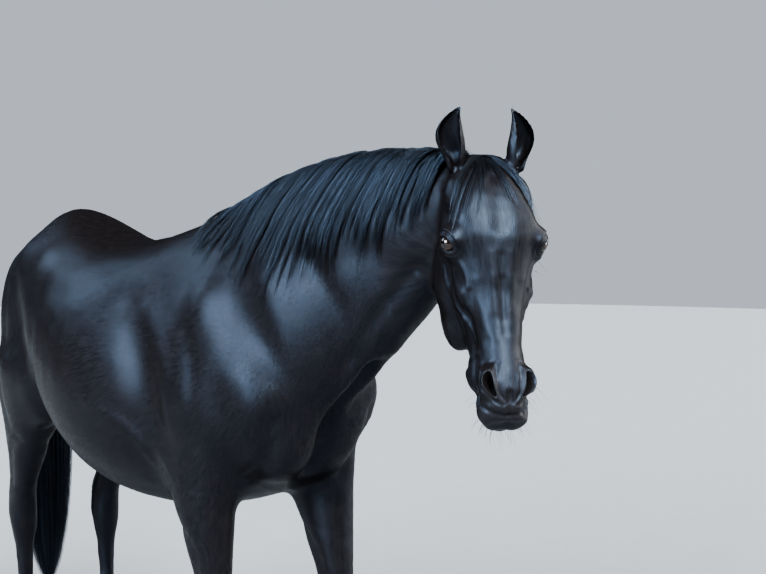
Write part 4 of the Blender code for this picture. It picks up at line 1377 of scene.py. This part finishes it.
def make_eye(side):
    """A ball with its cornea standing forward, marked with the iris's own directions."""
    centre, gaze, long_axis, _ = eye_frame(side)
    eye = bmesh.new()
    bmesh.ops.create_uvsphere(eye, u_segments=64, v_segments=40, radius=EYE_RADIUS)
    axes = np.array([long_axis, np.cross(gaze, long_axis), gaze]).T
    places = places_of(eye)
    places[:, 2] += CORNEA_RISE * ramp(places[:, 2] / EYE_RADIUS, 0.72, 0.95)
    place_all(eye, places @ axes.T + centre)
    mesh = finished(eye, "eyeball_" + side)
    for name, column in (("across", 0), ("upward", 1), ("forward", 2)):
        attribute(mesh, name, places[:, column] / EYE_RADIUS)
    return mesh


def make_hoof(node, name):
    """The horn of a hoof with a rounded top edge and a flat ground face."""
    form = smooth_form(node, 0.0, HOOF_NET, 45, 0.05)
    for vert in form.verts:
        if vert.co.z < SOLE_BAND:
            vert.co.z = 0.0
    form.normal_update()
    return finished(form, name)


# ---------------------------------------------------------------- materials


def new_group(name, inputs, outputs):
    """An empty group of shader nodes with named inputs and outputs."""
    group = bpy.data.node_groups.new(name, "ShaderNodeTree")
    for label, kind, value in inputs:
        socket = group.interface.new_socket(label, in_out="INPUT", socket_type=kind)
        if value is not None:
            socket.default_value = value
    for label, kind in outputs:
        group.interface.new_socket(label, in_out="OUTPUT", socket_type=kind)
    return group, group.nodes.new("NodeGroupInput"), group.nodes.new("NodeGroupOutput")


def link(tree, start, end):
    """Joins a node's output to another's input."""
    tree.links.new(start, end)


def math_node(tree, operation, first, second):
    """The result of a sum on two values, each of them a socket or a number."""
    node = tree.nodes.new("ShaderNodeMath")
    node.operation = operation
    for socket, value in zip(node.inputs, (first, second)):
        if isinstance(value, (int, float)):
            socket.default_value = value
        else:
            link(tree, value, socket)
    return node.outputs["Value"]


def noise(tree, vector, scale, detail=2.0, roughness=0.55):
    """Cloudy noise between 0 and 1."""
    node = tree.nodes.new("ShaderNodeTexNoise")
    node.inputs["Scale"].default_value = scale
    node.inputs["Detail"].default_value = detail
    node.inputs["Roughness"].default_value = roughness
    link(tree, vector, node.inputs["Vector"])
    return node.outputs["Fac"]


def stretched(tree, vector, scale):
    """A vector scaled by its own amount along each axis."""
    node = tree.nodes.new("ShaderNodeMapping")
    node.inputs["Scale"].default_value = scale
    link(tree, vector, node.inputs["Vector"])
    return node.outputs["Vector"]


def streak_group():
    """Fine and broad streaks along the second axis of the vector, as height and as tone."""
    if "hair streaks" in bpy.data.node_groups:
        return bpy.data.node_groups["hair streaks"]
    group, start, end = new_group(
        "hair streaks",
        [("Vector", "NodeSocketVector", None), ("Broad share", "NodeSocketFloat", 0.35)],
        [("Height", "NodeSocketFloat"), ("Tone", "NodeSocketFloat")],
    )
    fine = noise(group, stretched(group, start.outputs["Vector"], (620.0, 62.0, 1.0)), 1.0)
    broad = noise(group, stretched(group, start.outputs["Vector"], (170.0, 24.0, 1.0)), 1.0, 3.0)
    height = math_node(group, "MULTIPLY", broad, start.outputs["Broad share"])
    link(group, math_node(group, "ADD", height, fine), end.inputs["Height"])
    link(group, broad, end.inputs["Tone"])
    return group


def new_material(name):
    """A material with its nodes and its Principled shader."""
    material = bpy.data.materials.new(name)
    material.use_nodes = True
    tree = material.node_tree
    return material, tree, tree.nodes["Principled BSDF"]


def ramp_node(tree, factor, stops):
    """A colour that runs through the given stops."""
    node = tree.nodes.new("ShaderNodeValToRGB")
    while len(node.color_ramp.elements) < len(stops):
        node.color_ramp.elements.new(0.5)
    for element, (place, colour) in zip(node.color_ramp.elements, stops):
        element.position = place
        element.color = (*colour, 1.0)
    link(tree, factor, node.inputs["Fac"])
    return node.outputs["Color"]


def grey(value):
    """A grey this bright."""
    return (value, value, value)


def mix_colour(tree, factor, first, second, blend="MIX"):
    """A mix of two colours, each of them a socket or a plain colour."""
    node = tree.nodes.new("ShaderNodeMix")
    node.data_type = "RGBA"
    node.blend_type = blend
    sockets = (node.inputs["Factor"], node.inputs[6], node.inputs[7])
    for socket, value in zip(sockets, (factor, first, second)):
        if isinstance(value, bpy.types.NodeSocket):
            link(tree, value, socket)
        elif isinstance(value, float):
            socket.default_value = value
        else:
            socket.default_value = (*value, 1.0)
    return node.outputs[2]


def bump(tree, shader, height, strength, distance):
    """Raises a shader's surface by a height."""
    node = tree.nodes.new("ShaderNodeBump")
    node.inputs["Strength"].default_value = strength
    node.inputs["Distance"].default_value = distance
    link(tree, height, node.inputs["Height"])
    link(tree, node.outputs["Normal"], shader.inputs["Normal"])


def read_attribute(tree, name):
    """A value that the mesh gives each vertex."""
    node = tree.nodes.new("ShaderNodeAttribute")
    node.attribute_name = name
    return node.outputs["Fac"]


def shine(shader, colours, level):
    """The cool gloss that all of the hair shares."""
    shader.inputs["Specular IOR Level"].default_value = level
    shader.inputs["Specular Tint"].default_value = (*colours.sheen, 1.0)


# The short fur: how strongly it shines, then how much clear gloss lies over it and how rough
FUR_SHINE = 0.32
FUR_GLOSS = 0.05
FUR_GLOSS_ROUGH = 0.30


def skin_material(colours):
    """Short glossy black fur, browner in broad patches, with bare skin at lips and lids."""
    material, tree, shader = new_material("black coat")
    lay = tree.nodes.new("ShaderNodeUVMap")
    lay.uv_map = "Lie"
    streaks = tree.nodes.new("ShaderNodeGroup")
    streaks.node_tree = streak_group()
    streaks.inputs["Broad share"].default_value = 0.45
    link(tree, lay.outputs["UV"], streaks.inputs["Vector"])
    place = tree.nodes.new("ShaderNodeTexCoord").outputs["Object"]
    patches = noise(tree, place, 3.0, 3.0)
    coat = mix_colour(tree, patches, colours.coat, colours.coat_warm)
    tone = ramp_node(tree, streaks.outputs["Tone"], ((0.30, grey(0.55)), (0.72, grey(1.35))))
    toned = mix_colour(tree, 1.0, coat, tone, "MULTIPLY")
    bare = read_attribute(tree, "bare")
    link(tree, mix_colour(tree, bare, toned, colours.bare), shader.inputs["Base Color"])
    shine(shader, colours, FUR_SHINE)
    shader.inputs["Coat Weight"].default_value = FUR_GLOSS
    shader.inputs["Coat Roughness"].default_value = FUR_GLOSS_ROUGH
    rough = ramp_node(tree, streaks.outputs["Tone"], ((0.25, grey(0.36)), (0.75, grey(0.50))))
    link(tree, rough, shader.inputs["Roughness"])
    bump(tree, shader, streaks.outputs["Height"], 0.35, 0.0012)
    return material


HAIR_FINISHES = {
    # how strongly it shines, and how rough it is
    "coat hair": (0.34, 0.42),
    "coronet hair": (0.34, 0.42),
    "mane hair": (0.75, 0.30),
    "forelock hair": (1.0, 0.34),
    "tail hair": (0.70, 0.32),
    "lash hair": (0.5, 0.40),
}


def hair_material(name, colours):
    """Black hair, each strand a little different and paler where it is worn at the tip."""
    material, tree, shader = new_material(name)
    level, rough = HAIR_FINISHES[name]
    tint = read_attribute(tree, "tint")
    along = read_attribute(tree, "along")
    hair = mix_colour(tree, tint, colours.hair, colours.hair_warm)
    worn = math_node(tree, "MULTIPLY", math_node(tree, "POWER", along, 3.0), 0.35)
    link(tree, mix_colour(tree, worn, hair, colours.hair_worn), shader.inputs["Base Color"])
    shine(shader, colours, level)
    varied = math_node(tree, "ADD", math_node(tree, "MULTIPLY", tint, 0.12), rough - 0.06)
    link(tree, varied, shader.inputs["Roughness"])
    return material


def horn_material(colours):
    """Dark horn with growth rings level with the ground and fine upright fibres."""
    material, tree, shader = new_material("hoof horn")
    place = tree.nodes.new("ShaderNodeTexCoord").outputs["Object"]
    rings = noise(tree, stretched(tree, place, (9.0, 9.0, 190.0)), 1.0, 2.0)
    fibres = noise(tree, stretched(tree, place, (520.0, 520.0, 26.0)), 1.0, 2.0)
    height = math_node(tree, "ADD", math_node(tree, "MULTIPLY", rings, 2.2), fibres)
    colour = ramp_node(tree, rings, ((0.30, tuple(colours.horn)), (0.75, tuple(colours.horn_pale))))
    link(tree, colour, shader.inputs["Base Color"])
    rough = ramp_node(tree, fibres, ((0.2, grey(0.38)), (0.8, grey(0.62))))
    link(tree, rough, shader.inputs["Roughness"])
    shader.inputs["Specular IOR Level"].default_value = 0.28
    bump(tree, shader, height, 0.5, 0.0009)
    return material


# Half widths and half heights of the pupil and of the iris, as shares of the eyeball's radius
PUPIL = (0.46, 0.24)
IRIS = (0.84, 0.74)
PUPIL_BLACK = (0.002, 0.002, 0.003)


def oval(tree, across, upward, size):
    """Below 1 inside an oval of this half width and half height, and above 1 outside it."""
    squares = []
    for way, half in zip((across, upward), size):
        squares.append(math_node(tree, "POWER", math_node(tree, "DIVIDE", way, half), 2.0))
    return math_node(tree, "ADD", *squares)


def eye_material(colours):
    """Wet dark eye: a wide level pupil in a brown iris, with a brown white at the corners."""
    material, tree, shader = new_material("eye")
    across = read_attribute(tree, "across")
    upward = read_attribute(tree, "upward")
    pupil = oval(tree, across, upward, PUPIL)
    rim = oval(tree, across, upward, IRIS)
    place = tree.nodes.new("ShaderNodeTexCoord").outputs["Object"]
    fibres = noise(tree, place, 900.0, 4.0, 0.7)
    iris = mix_colour(tree, fibres, colours.iris, colours.iris_pale)
    in_pupil = ramp_node(tree, pupil, ((0.80, grey(1.0)), (1.0, grey(0.0))))
    dark = mix_colour(tree, in_pupil, iris, PUPIL_BLACK)
    edge = ramp_node(tree, rim, ((0.86, grey(0.0)), (1.0, grey(1.0))))
    link(tree, mix_colour(tree, edge, dark, colours.eye_white), shader.inputs["Base Color"])
    shader.inputs["Roughness"].default_value = 0.12
    shader.inputs["Coat Weight"].default_value = 1.0
    shader.inputs["Coat Roughness"].default_value = 0.02
    shader.inputs["Coat IOR"].default_value = 1.45
    return material


def floor_material(colours):
    """Pale matt floor with a slight cloudiness."""
    material, tree, shader = new_material("pale floor")
    place = tree.nodes.new("ShaderNodeTexCoord").outputs["Object"]
    grain = noise(tree, place, 6.0, 4.0)
    pale = tuple(colours.floor)
    stops = ((0.3, tuple(v * 0.97 for v in pale)), (0.7, pale))
    link(tree, ramp_node(tree, grain, stops), shader.inputs["Base Color"])
    shader.inputs["Roughness"].default_value = 0.7
    return material


# ---------------------------------------------------------------- the pieces


def piece(mesh, material, slot, *nodes):
    """Puts a finished mesh in the scene, riding on the horse and standing for its solids."""
    obj = bpy.data.objects.new(mesh.name, mesh)
    bpy.context.scene.collection.objects.link(obj)
    mesh.materials.append(material)
    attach(obj, BODY)
    if nodes:
        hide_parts(*nodes)


def skin_mesh():
    """The finished skin that the hair grows on."""
    if "skin" not in bpy.data.objects:
        raise RuntimeError("The skin comes before the hair")
    return bpy.data.objects["skin"].data


def tree_of(mesh):
    """A search tree over the faces of a mesh."""
    form = bmesh.new()
    form.from_mesh(mesh)
    tree = skin_tree(form)
    form.free()
    return tree


# About how far the skin lies from the middle of the body, the head and a leg
BODY_RADIUS = 0.30
HEAD_RADIUS = 0.11
LEG_RADIUS = 0.06


def coat_lay(mesh):
    """For each vertex of the skin: metres across and metres along the lie of the coat."""
    points, normals = net_arrays(mesh)
    spine, fronts = body_places(points)
    region, turn, along, _ = plan(points)
    round_body = np.abs(turn) * BODY_RADIUS
    lay = np.stack([along * 0.45 + round_body * 0.9, round_body * 0.45 - along * 0.9], axis=1)
    ends = (np.abs(np.einsum("ij,ij->i", normals, fronts)) > 0.70) & (region == 0)
    lay[ends] = spine[ends, 1:]
    head = region == 1
    lay[head] = np.stack([np.abs(turn[head]) * HEAD_RADIUS, along[head]], axis=1)
    leg = region == 2
    lay[leg] = np.stack([np.abs(turn[leg]) * LEG_RADIUS, along[leg]], axis=1)
    return lay, points


def bareness(points):
    """1 where the skin has no fur: inside the nostrils, at the lips and on the lids' rims."""
    bare = np.zeros(len(points))
    places = head_places(points)
    for sign in SIDES.values():
        away = places - np.array([sign * NOSTRIL.x, NOSTRIL.y - 0.006, NOSTRIL.z])
        away = away * np.array([1.0, 0.9, 0.55])
        bare = np.maximum(bare, ramp(-np.linalg.norm(away, axis=1), -0.024, -0.012))
    lips = ramp(-places[:, 2], 0.535, 0.590) * on_head(points)
    bare = np.maximum(bare, lips * 0.75)
    for side in SIDES:
        centre, gaze, long_axis, tall = eye_frame(side)
        away = points - centre
        almond = np.sqrt(((away @ long_axis) / LID_LONG) ** 2 + ((away @ tall) / LID_TALL) ** 2)
        front = (away @ gaze > 0) & (np.linalg.norm(away, axis=1) < 0.05)
        bare = np.maximum(bare, front * ramp(-almond, -1.45, -1.15))
    return bare


# Length, half width and lift of the tufts, on the body and then on the face
BODY_TUFT = (0.0110, 0.00070, 0.0007)
FACE_TUFT = (0.0042, 0.00034, 0.0005)


def coat_sizes(points):
    """Length, half width and lift of the tufts: smallest on the face and feet."""
    throat = np.maximum(-head_places(points)[:, 1] - 0.05, 0.0)
    head = np.maximum(on_head(points), ramp(-throat, -0.30, 0.0))
    foot = ramp(-points[:, 2], -0.50, -0.15)
    small = np.maximum(head, foot * 0.6)
    return [body + (face - body) * small for body, face in zip(BODY_TUFT, FACE_TUFT)]


COAT_PARTS = (
    # name of the piece, and the part of the skin that it covers
    ("coat_head", "head"),
    ("coat_neck", "neck"),
    ("coat_trunk_front", "front"),
    ("coat_trunk_rear", "rear"),
    ("coat_legs", "legs"),
)
FRONT_FROM = 0.28
REAR_FROM = -0.42


def coat_part(name):
    """How likely a tuft of this part of the coat is at each point."""
    def weight(points):
        spine, _ = body_places(points)
        head = on_head(points) > 0.5
        legs = (points[:, 2] < LEG_TOP) & ~head
        ahead = spine[:, 0]
        chosen = {
            "head": head,
            "neck": ~head & ~legs & (ahead > FRONT_FROM),
            "front": ~head & ~legs & (ahead <= FRONT_FROM) & (ahead > REAR_FROM),
            "rear": ~head & ~legs & (ahead <= REAR_FROM),
            "legs": legs,
        }[name]
        bald = bareness(points) if name == "head" else 0.0
        return chosen * (1.0 - 0.97 * bald) + 1e-12
    return weight


class SkinSettings(bpy.types.PropertyGroup):
    body_net: FloatProperty(
        name="Body net", description="Size of the squares that make the body's skin",
        default=0.0122, min=0.008, max=0.03, unit="LENGTH")
    head_net: FloatProperty(
        name="Head net", description="Size of the squares that make the head's skin",
        default=0.0037, min=0.003, max=0.01, unit="LENGTH")
    coat_depth: FloatProperty(
        name="Coat depth", description="How far the skin lies inside the outline",
        default=0.0012, min=0.0, max=0.005, unit="LENGTH")
    tufts: IntProperty(
        name="Tufts", description="Tufts in each part of the coat", default=17000, min=100, max=19900)


class HairSettings(bpy.types.PropertyGroup):
    mane_clumps: IntProperty(
        name="Mane clumps", description="Locks that the mane falls in", default=50, min=10, max=120)
    mane_strands: IntProperty(
        name="Mane strands", description="Strands in the mane", default=3700, min=100, max=3700)
    tail_strands: IntProperty(
        name="Tail strands", description="Strands in the tail", default=2500, min=100, max=2500)
    forelock_strands: IntProperty(
        name="Forelock strands", description="Strands in the forelock", default=260, min=20, max=2000)
    strand_width: FloatProperty(
        name="Strand width", description="Half the width of a strand at its thickest",
        default=0.00065, min=0.0003, max=0.003, unit="LENGTH")


def colour(name, description, default):
    """A colour that the panel shows."""
    return FloatVectorProperty(
        name=name, description=description, default=default, min=0.0, max=1.0, subtype="COLOR", size=3)


class ColourSettings(bpy.types.PropertyGroup):
    coat: colour("Coat", "Black of the coat", (0.0064, 0.0050, 0.0050))
    coat_warm: colour("Warm coat", "Browner black of the coat", (0.0115, 0.0072, 0.0058))
    sheen: colour("Sheen", "Tint of the gloss on coat and hair", (0.52, 0.72, 1.0))
    bare: colour("Bare skin", "Skin at the lips, nostrils and lids", (0.018, 0.0150, 0.0145))
    hair: colour("Hair", "Black of mane and tail", (0.0045, 0.0048, 0.0065))
    hair_warm: colour("Warm hair", "Browner strands", (0.0100, 0.0075, 0.0065))
    hair_worn: colour("Worn hair", "Tips bleached by the sun", (0.0200, 0.0150, 0.0125))
    horn: colour("Horn", "Dark horn of the hooves", (0.0065, 0.0060, 0.0058))
    horn_pale: colour("Pale horn", "Paler rings of the hooves", (0.0135, 0.0120, 0.0110))
    iris: colour("Iris", "Brown of the iris", (0.014, 0.007, 0.004))
    iris_pale: colour("Pale iris", "Lighter fibres of the iris", (0.036, 0.018, 0.009))
    eye_white: colour("Eye white", "The eye beyond its iris", (0.026, 0.019, 0.016))
    floor: colour("Floor", "Studio floor", (0.25, 0.255, 0.262))
    backdrop: colour("Backdrop", "Backdrop and surroundings", (0.42, 0.45, 0.49))


class StudioSettings(bpy.types.PropertyGroup):
    view_turn: FloatProperty(
        name="View turn", description="Camera's turn about the upright", default=math.radians(-37.0),
        subtype="ANGLE")
    view_pitch: FloatProperty(
        name="View pitch", description="How far the camera looks down", default=math.radians(4.5),
        subtype="ANGLE")
    view_height: FloatProperty(
        name="View height", description="Camera above the floor", default=1.60, unit="LENGTH")
    view_distance: FloatProperty(
        name="View distance", description="From the camera to the withers, level", default=3.9,
        unit="LENGTH")
    view_aside: FloatProperty(
        name="View aside", description="Withers right of the view's middle", default=-0.435,
        unit="LENGTH")
    lens: FloatProperty(
        name="Lens", description="Focal length in millimetres", default=70.5, min=10.0)
    side_light: FloatProperty(
        name="Side", description="Strength of the main light at the right side", default=7.0)
    front_light: FloatProperty(
        name="Front", description="Strength of the high light ahead", default=7.2)
    rim_light: FloatProperty(
        name="Rim", description="Strength of the light behind", default=0.7)
    fill_light: FloatProperty(
        name="Fill", description="Strength of the fill light", default=3.6)
    sky: FloatProperty(
        name="Sky", description="Strength of the light from all round", default=0.08)


class HORSE_OT_skin(bpy.types.Operator):
    """Make the one skin over body, legs, neck, head and ears"""
    bl_idname = "horse.skin"
    bl_label = "Skin"

    def execute(self, context):
        settings = context.scene.horse_skin
        mesh = make_skin(settings)
        lay, points = coat_lay(mesh)
        uv_map(mesh, "Lie", lay)
        attribute(mesh, "bare", bareness(points))
        material = skin_material(context.scene.horse_colours)
        piece(mesh, material, "coat", *LEGS, "trunk", "neck", "head", "ear_left", "ear_right")
        return {"FINISHED"}


class HORSE_OT_coat(bpy.types.Operator):
    """Lay short tufts over the skin"""
    bl_idname = "horse.coat"
    bl_label = "Coat"

    def execute(self, context):
        settings = context.scene.horse_skin
        material = hair_material("coat hair", context.scene.horse_colours)
        skin = skin_mesh()
        for number, (name, part) in enumerate(COAT_PARTS):
            random = draws("coat", number)
            points, ups = scatter(skin, settings.tufts, coat_part(part), random)
            length, width, lift = coat_sizes(points)
            mesh = tufts(name, points, ups, lie(points), length, width, lift, random)
            piece(mesh, material, "coat")
        return {"FINISHED"}


class HORSE_OT_mane(bpy.types.Operator):
    """Comb the mane over the right side of the neck, and the forelock over the forehead"""
    bl_idname = "horse.mane"
    bl_label = "Mane and forelock"

    def execute(self, context):
        settings = context.scene.horse_hair
        colours = context.scene.horse_colours
        material = hair_material("mane hair", colours)
        tree = tree_of(skin_mesh())
        for number, (name, share, lift, crown) in enumerate(MANE_LAYERS):
            width = settings.strand_width * share
            layer = make_mane(name, tree, settings, width, lift, crown, draws("mane", number))
            nodes = ("mane",) if number == 0 else ()
            piece(layer, material, "hair", *nodes)
        glossy = hair_material("forelock hair", colours)
        piece(make_forelock(tree, settings, draws("forelock")), glossy, "hair", "forelock")
        return {"FINISHED"}


class HORSE_OT_tail(bpy.types.Operator):
    """Hang the tail's strands round its core"""
    bl_idname = "horse.tail"
    bl_label = "Tail"

    def execute(self, context):
        settings = context.scene.horse_hair
        material = hair_material("tail hair", context.scene.horse_colours)
        piece(make_tail_core(), material, "hair")
        piece(make_tail(settings, draws("tail")), material, "hair", "tail")
        return {"FINISHED"}


class HORSE_OT_eyes(bpy.types.Operator):
    """Set both eyes, with lashes, the whiskers and the hair in the ears"""
    bl_idname = "horse.eyes"
    bl_label = "Eyes and single hairs"

    def execute(self, context):
        colours = context.scene.horse_colours
        wet = eye_material(colours)
        for side in SIDES:
            piece(make_eye(side), wet, "eye", "eye_" + side)
        hair = hair_material("lash hair", colours)
        skin = skin_mesh()
        piece(make_lashes(draws("lashes")), hair, "hair")
        piece(make_whiskers(tree_of(skin), draws("whiskers")), hair, "hair")
        piece(make_ear_hair(skin, draws("ear hair")), hair, "hair")
        return {"FINISHED"}


class HORSE_OT_hooves(bpy.types.Operator):
    """Shape the four hooves and the fringe of hair over them"""
    bl_idname = "horse.hooves"
    bl_label = "Hooves"

    def execute(self, context):
        colours = context.scene.horse_colours
        horn = horn_material(colours)
        hooves = {}
        for end in ("fore", "hind"):
            for side in SIDES:
                node = f"hoof_{end}_{side}"
                hooves[node] = make_hoof(node, f"horn_{end}_{side}")
                piece(hooves[node], horn, "horn", node)
        hair = hair_material("coronet hair", colours)
        piece(make_coronets(skin_mesh(), hooves, draws("coronets")), hair, "coat")
        return {"FINISHED"}


def soft_light(name, way, strength, wide, tint):
    """A far light as wide as a softbox, so that the floor is lit evenly."""
    data = bpy.data.lights.new(name, "SUN")
    data.energy = strength
    data.angle = math.radians(wide)
    data.color = tint
    lamp = bpy.data.objects.new(name, data)
    bpy.context.scene.collection.objects.link(lamp)
    lamp.location = Vector(way) * 4.0
    lamp.rotation_euler = (-Vector(way)).to_track_quat("-Z", "Y").to_euler()


LIGHTS = (
    # name of its strength, way to it from the horse, how many degrees wide it looks, tint
    ("side_light", (-0.90, -0.06, 0.42), 44.0, (0.80, 0.90, 1.0)),
    ("front_light", (-0.18, -0.70, 0.68), 36.0, (0.93, 0.97, 1.0)),
    ("rim_light", (-0.35, 0.80, 0.48), 24.0, (0.55, 0.75, 1.0)),
    ("fill_light", (0.84, -0.42, 0.42), 60.0, (1.0, 0.97, 0.93)),
)


FLOOR_RADIUS = 14.0
VIEW_LOOK = "AgX - High Contrast"


def surroundings(colours, strength):
    """A pale backdrop to look at, and a dimmer even light from all round."""
    world = bpy.data.worlds.new("surroundings")
    world.use_nodes = True
    tree = world.node_tree
    backdrop = tree.nodes["Background"]
    backdrop.inputs["Color"].default_value = (*colours.backdrop, 1.0)
    glow = tree.nodes.new("ShaderNodeBackground")
    glow.inputs["Color"].default_value = (*colours.backdrop, 1.0)
    glow.inputs["Strength"].default_value = strength
    seen = tree.nodes.new("ShaderNodeLightPath")
    both = tree.nodes.new("ShaderNodeMixShader")
    link(tree, seen.outputs["Is Camera Ray"], both.inputs["Fac"])
    link(tree, glow.outputs["Background"], both.inputs[1])
    link(tree, backdrop.outputs["Background"], both.inputs[2])
    link(tree, both.outputs["Shader"], tree.nodes["World Output"].inputs["Surface"])
    return world


def lay_floor(colours):
    """A wide round floor that belongs to the stage."""
    disc = bmesh.new()
    bmesh.ops.create_circle(disc, cap_ends=True, segments=96, radius=FLOOR_RADIUS)
    mesh = bpy.data.meshes.new("floor")
    disc.to_mesh(mesh)
    disc.free()
    mesh.materials.append(floor_material(colours))
    ground = bpy.data.objects.new("floor", mesh)
    bpy.context.scene.collection.objects.link(ground)
    ground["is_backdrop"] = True


def set_camera(studio):
    """Looks at the horse from the studio's own angle, height and distance."""
    turn = studio.view_turn
    look = Vector((-math.sin(turn), math.cos(turn), 0.0))
    up = Vector((0.0, 0.0, 1.0))
    data = bpy.data.cameras.new("camera")
    data.lens = studio.lens
    camera = bpy.data.objects.new("camera", data)
    bpy.context.scene.collection.objects.link(camera)
    camera.location = WITHERS - side_axis(turn) * studio.view_aside - look * studio.view_distance
    camera.location += up * studio.view_height
    camera.rotation_euler = (math.pi / 2 - studio.view_pitch, 0.0, turn)
    bpy.context.scene.camera = camera


class HORSE_OT_studio(bpy.types.Operator):
    """Lay the floor and set the lights and camera"""
    bl_idname = "horse.studio"
    bl_label = "Studio"

    def execute(self, context):
        studio = context.scene.horse_studio
        colours = context.scene.horse_colours
        lay_floor(colours)
        for name, way, wide, tint in LIGHTS:
            soft_light(name, way, getattr(studio, name), wide, tint)
        context.scene.world = surroundings(colours, studio.sky)
        context.scene.view_settings.look = VIEW_LOOK
        set_camera(studio)
        return {"FINISHED"}


class HORSE_PT_panel(bpy.types.Panel):
    """Lists every setting, and then the pieces in the order in which they are made"""
    bl_idname = "HORSE_PT_panel"
    bl_label = "Standing black horse"
    bl_space_type = "VIEW_3D"
    bl_region_type = "UI"
    bl_category = "Horse"

    def draw(self, context):
        for name in SETTINGS:
            settings = getattr(context.scene, name)
            box = self.layout.box()
            for label in settings.__annotations__:
                box.prop(settings, label)
        for operator in OPERATORS:
            self.layout.operator(operator.bl_idname)


SETTINGS = {
    "horse_skin": SkinSettings,
    "horse_hair": HairSettings,
    "horse_colours": ColourSettings,
    "horse_studio": StudioSettings,
}
OPERATORS = (
    HORSE_OT_studio,
    HORSE_OT_skin,
    HORSE_OT_coat,
    HORSE_OT_mane,
    HORSE_OT_tail,
    HORSE_OT_eyes,
    HORSE_OT_hooves,
)


def register():
    for name, group in SETTINGS.items():
        bpy.utils.register_class(group)
        setattr(bpy.types.Scene, name, PointerProperty(type=group))
    for operator in OPERATORS:
        bpy.utils.register_class(operator)
    bpy.utils.register_class(HORSE_PT_panel)


def unregister():
    bpy.utils.unregister_class(HORSE_PT_panel)
    for operator in reversed(OPERATORS):
        bpy.utils.unregister_class(operator)
    for name, group in reversed(SETTINGS.items()):
        delattr(bpy.types.Scene, name)
        bpy.utils.unregister_class(group)


def main():
    register()
    bpy.ops.horse.studio()
    bpy.ops.horse.skin()
    bpy.ops.horse.coat()
    bpy.ops.horse.mane()
    bpy.ops.horse.tail()
    bpy.ops.horse.eyes()
    bpy.ops.horse.hooves()
    boxes = {"cad": FRAME_BOX, "model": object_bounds()}
    sizes = {name: [list(corner) for corner in box] for name, box in boxes.items()}


if __name__ == "__main__":
    main()
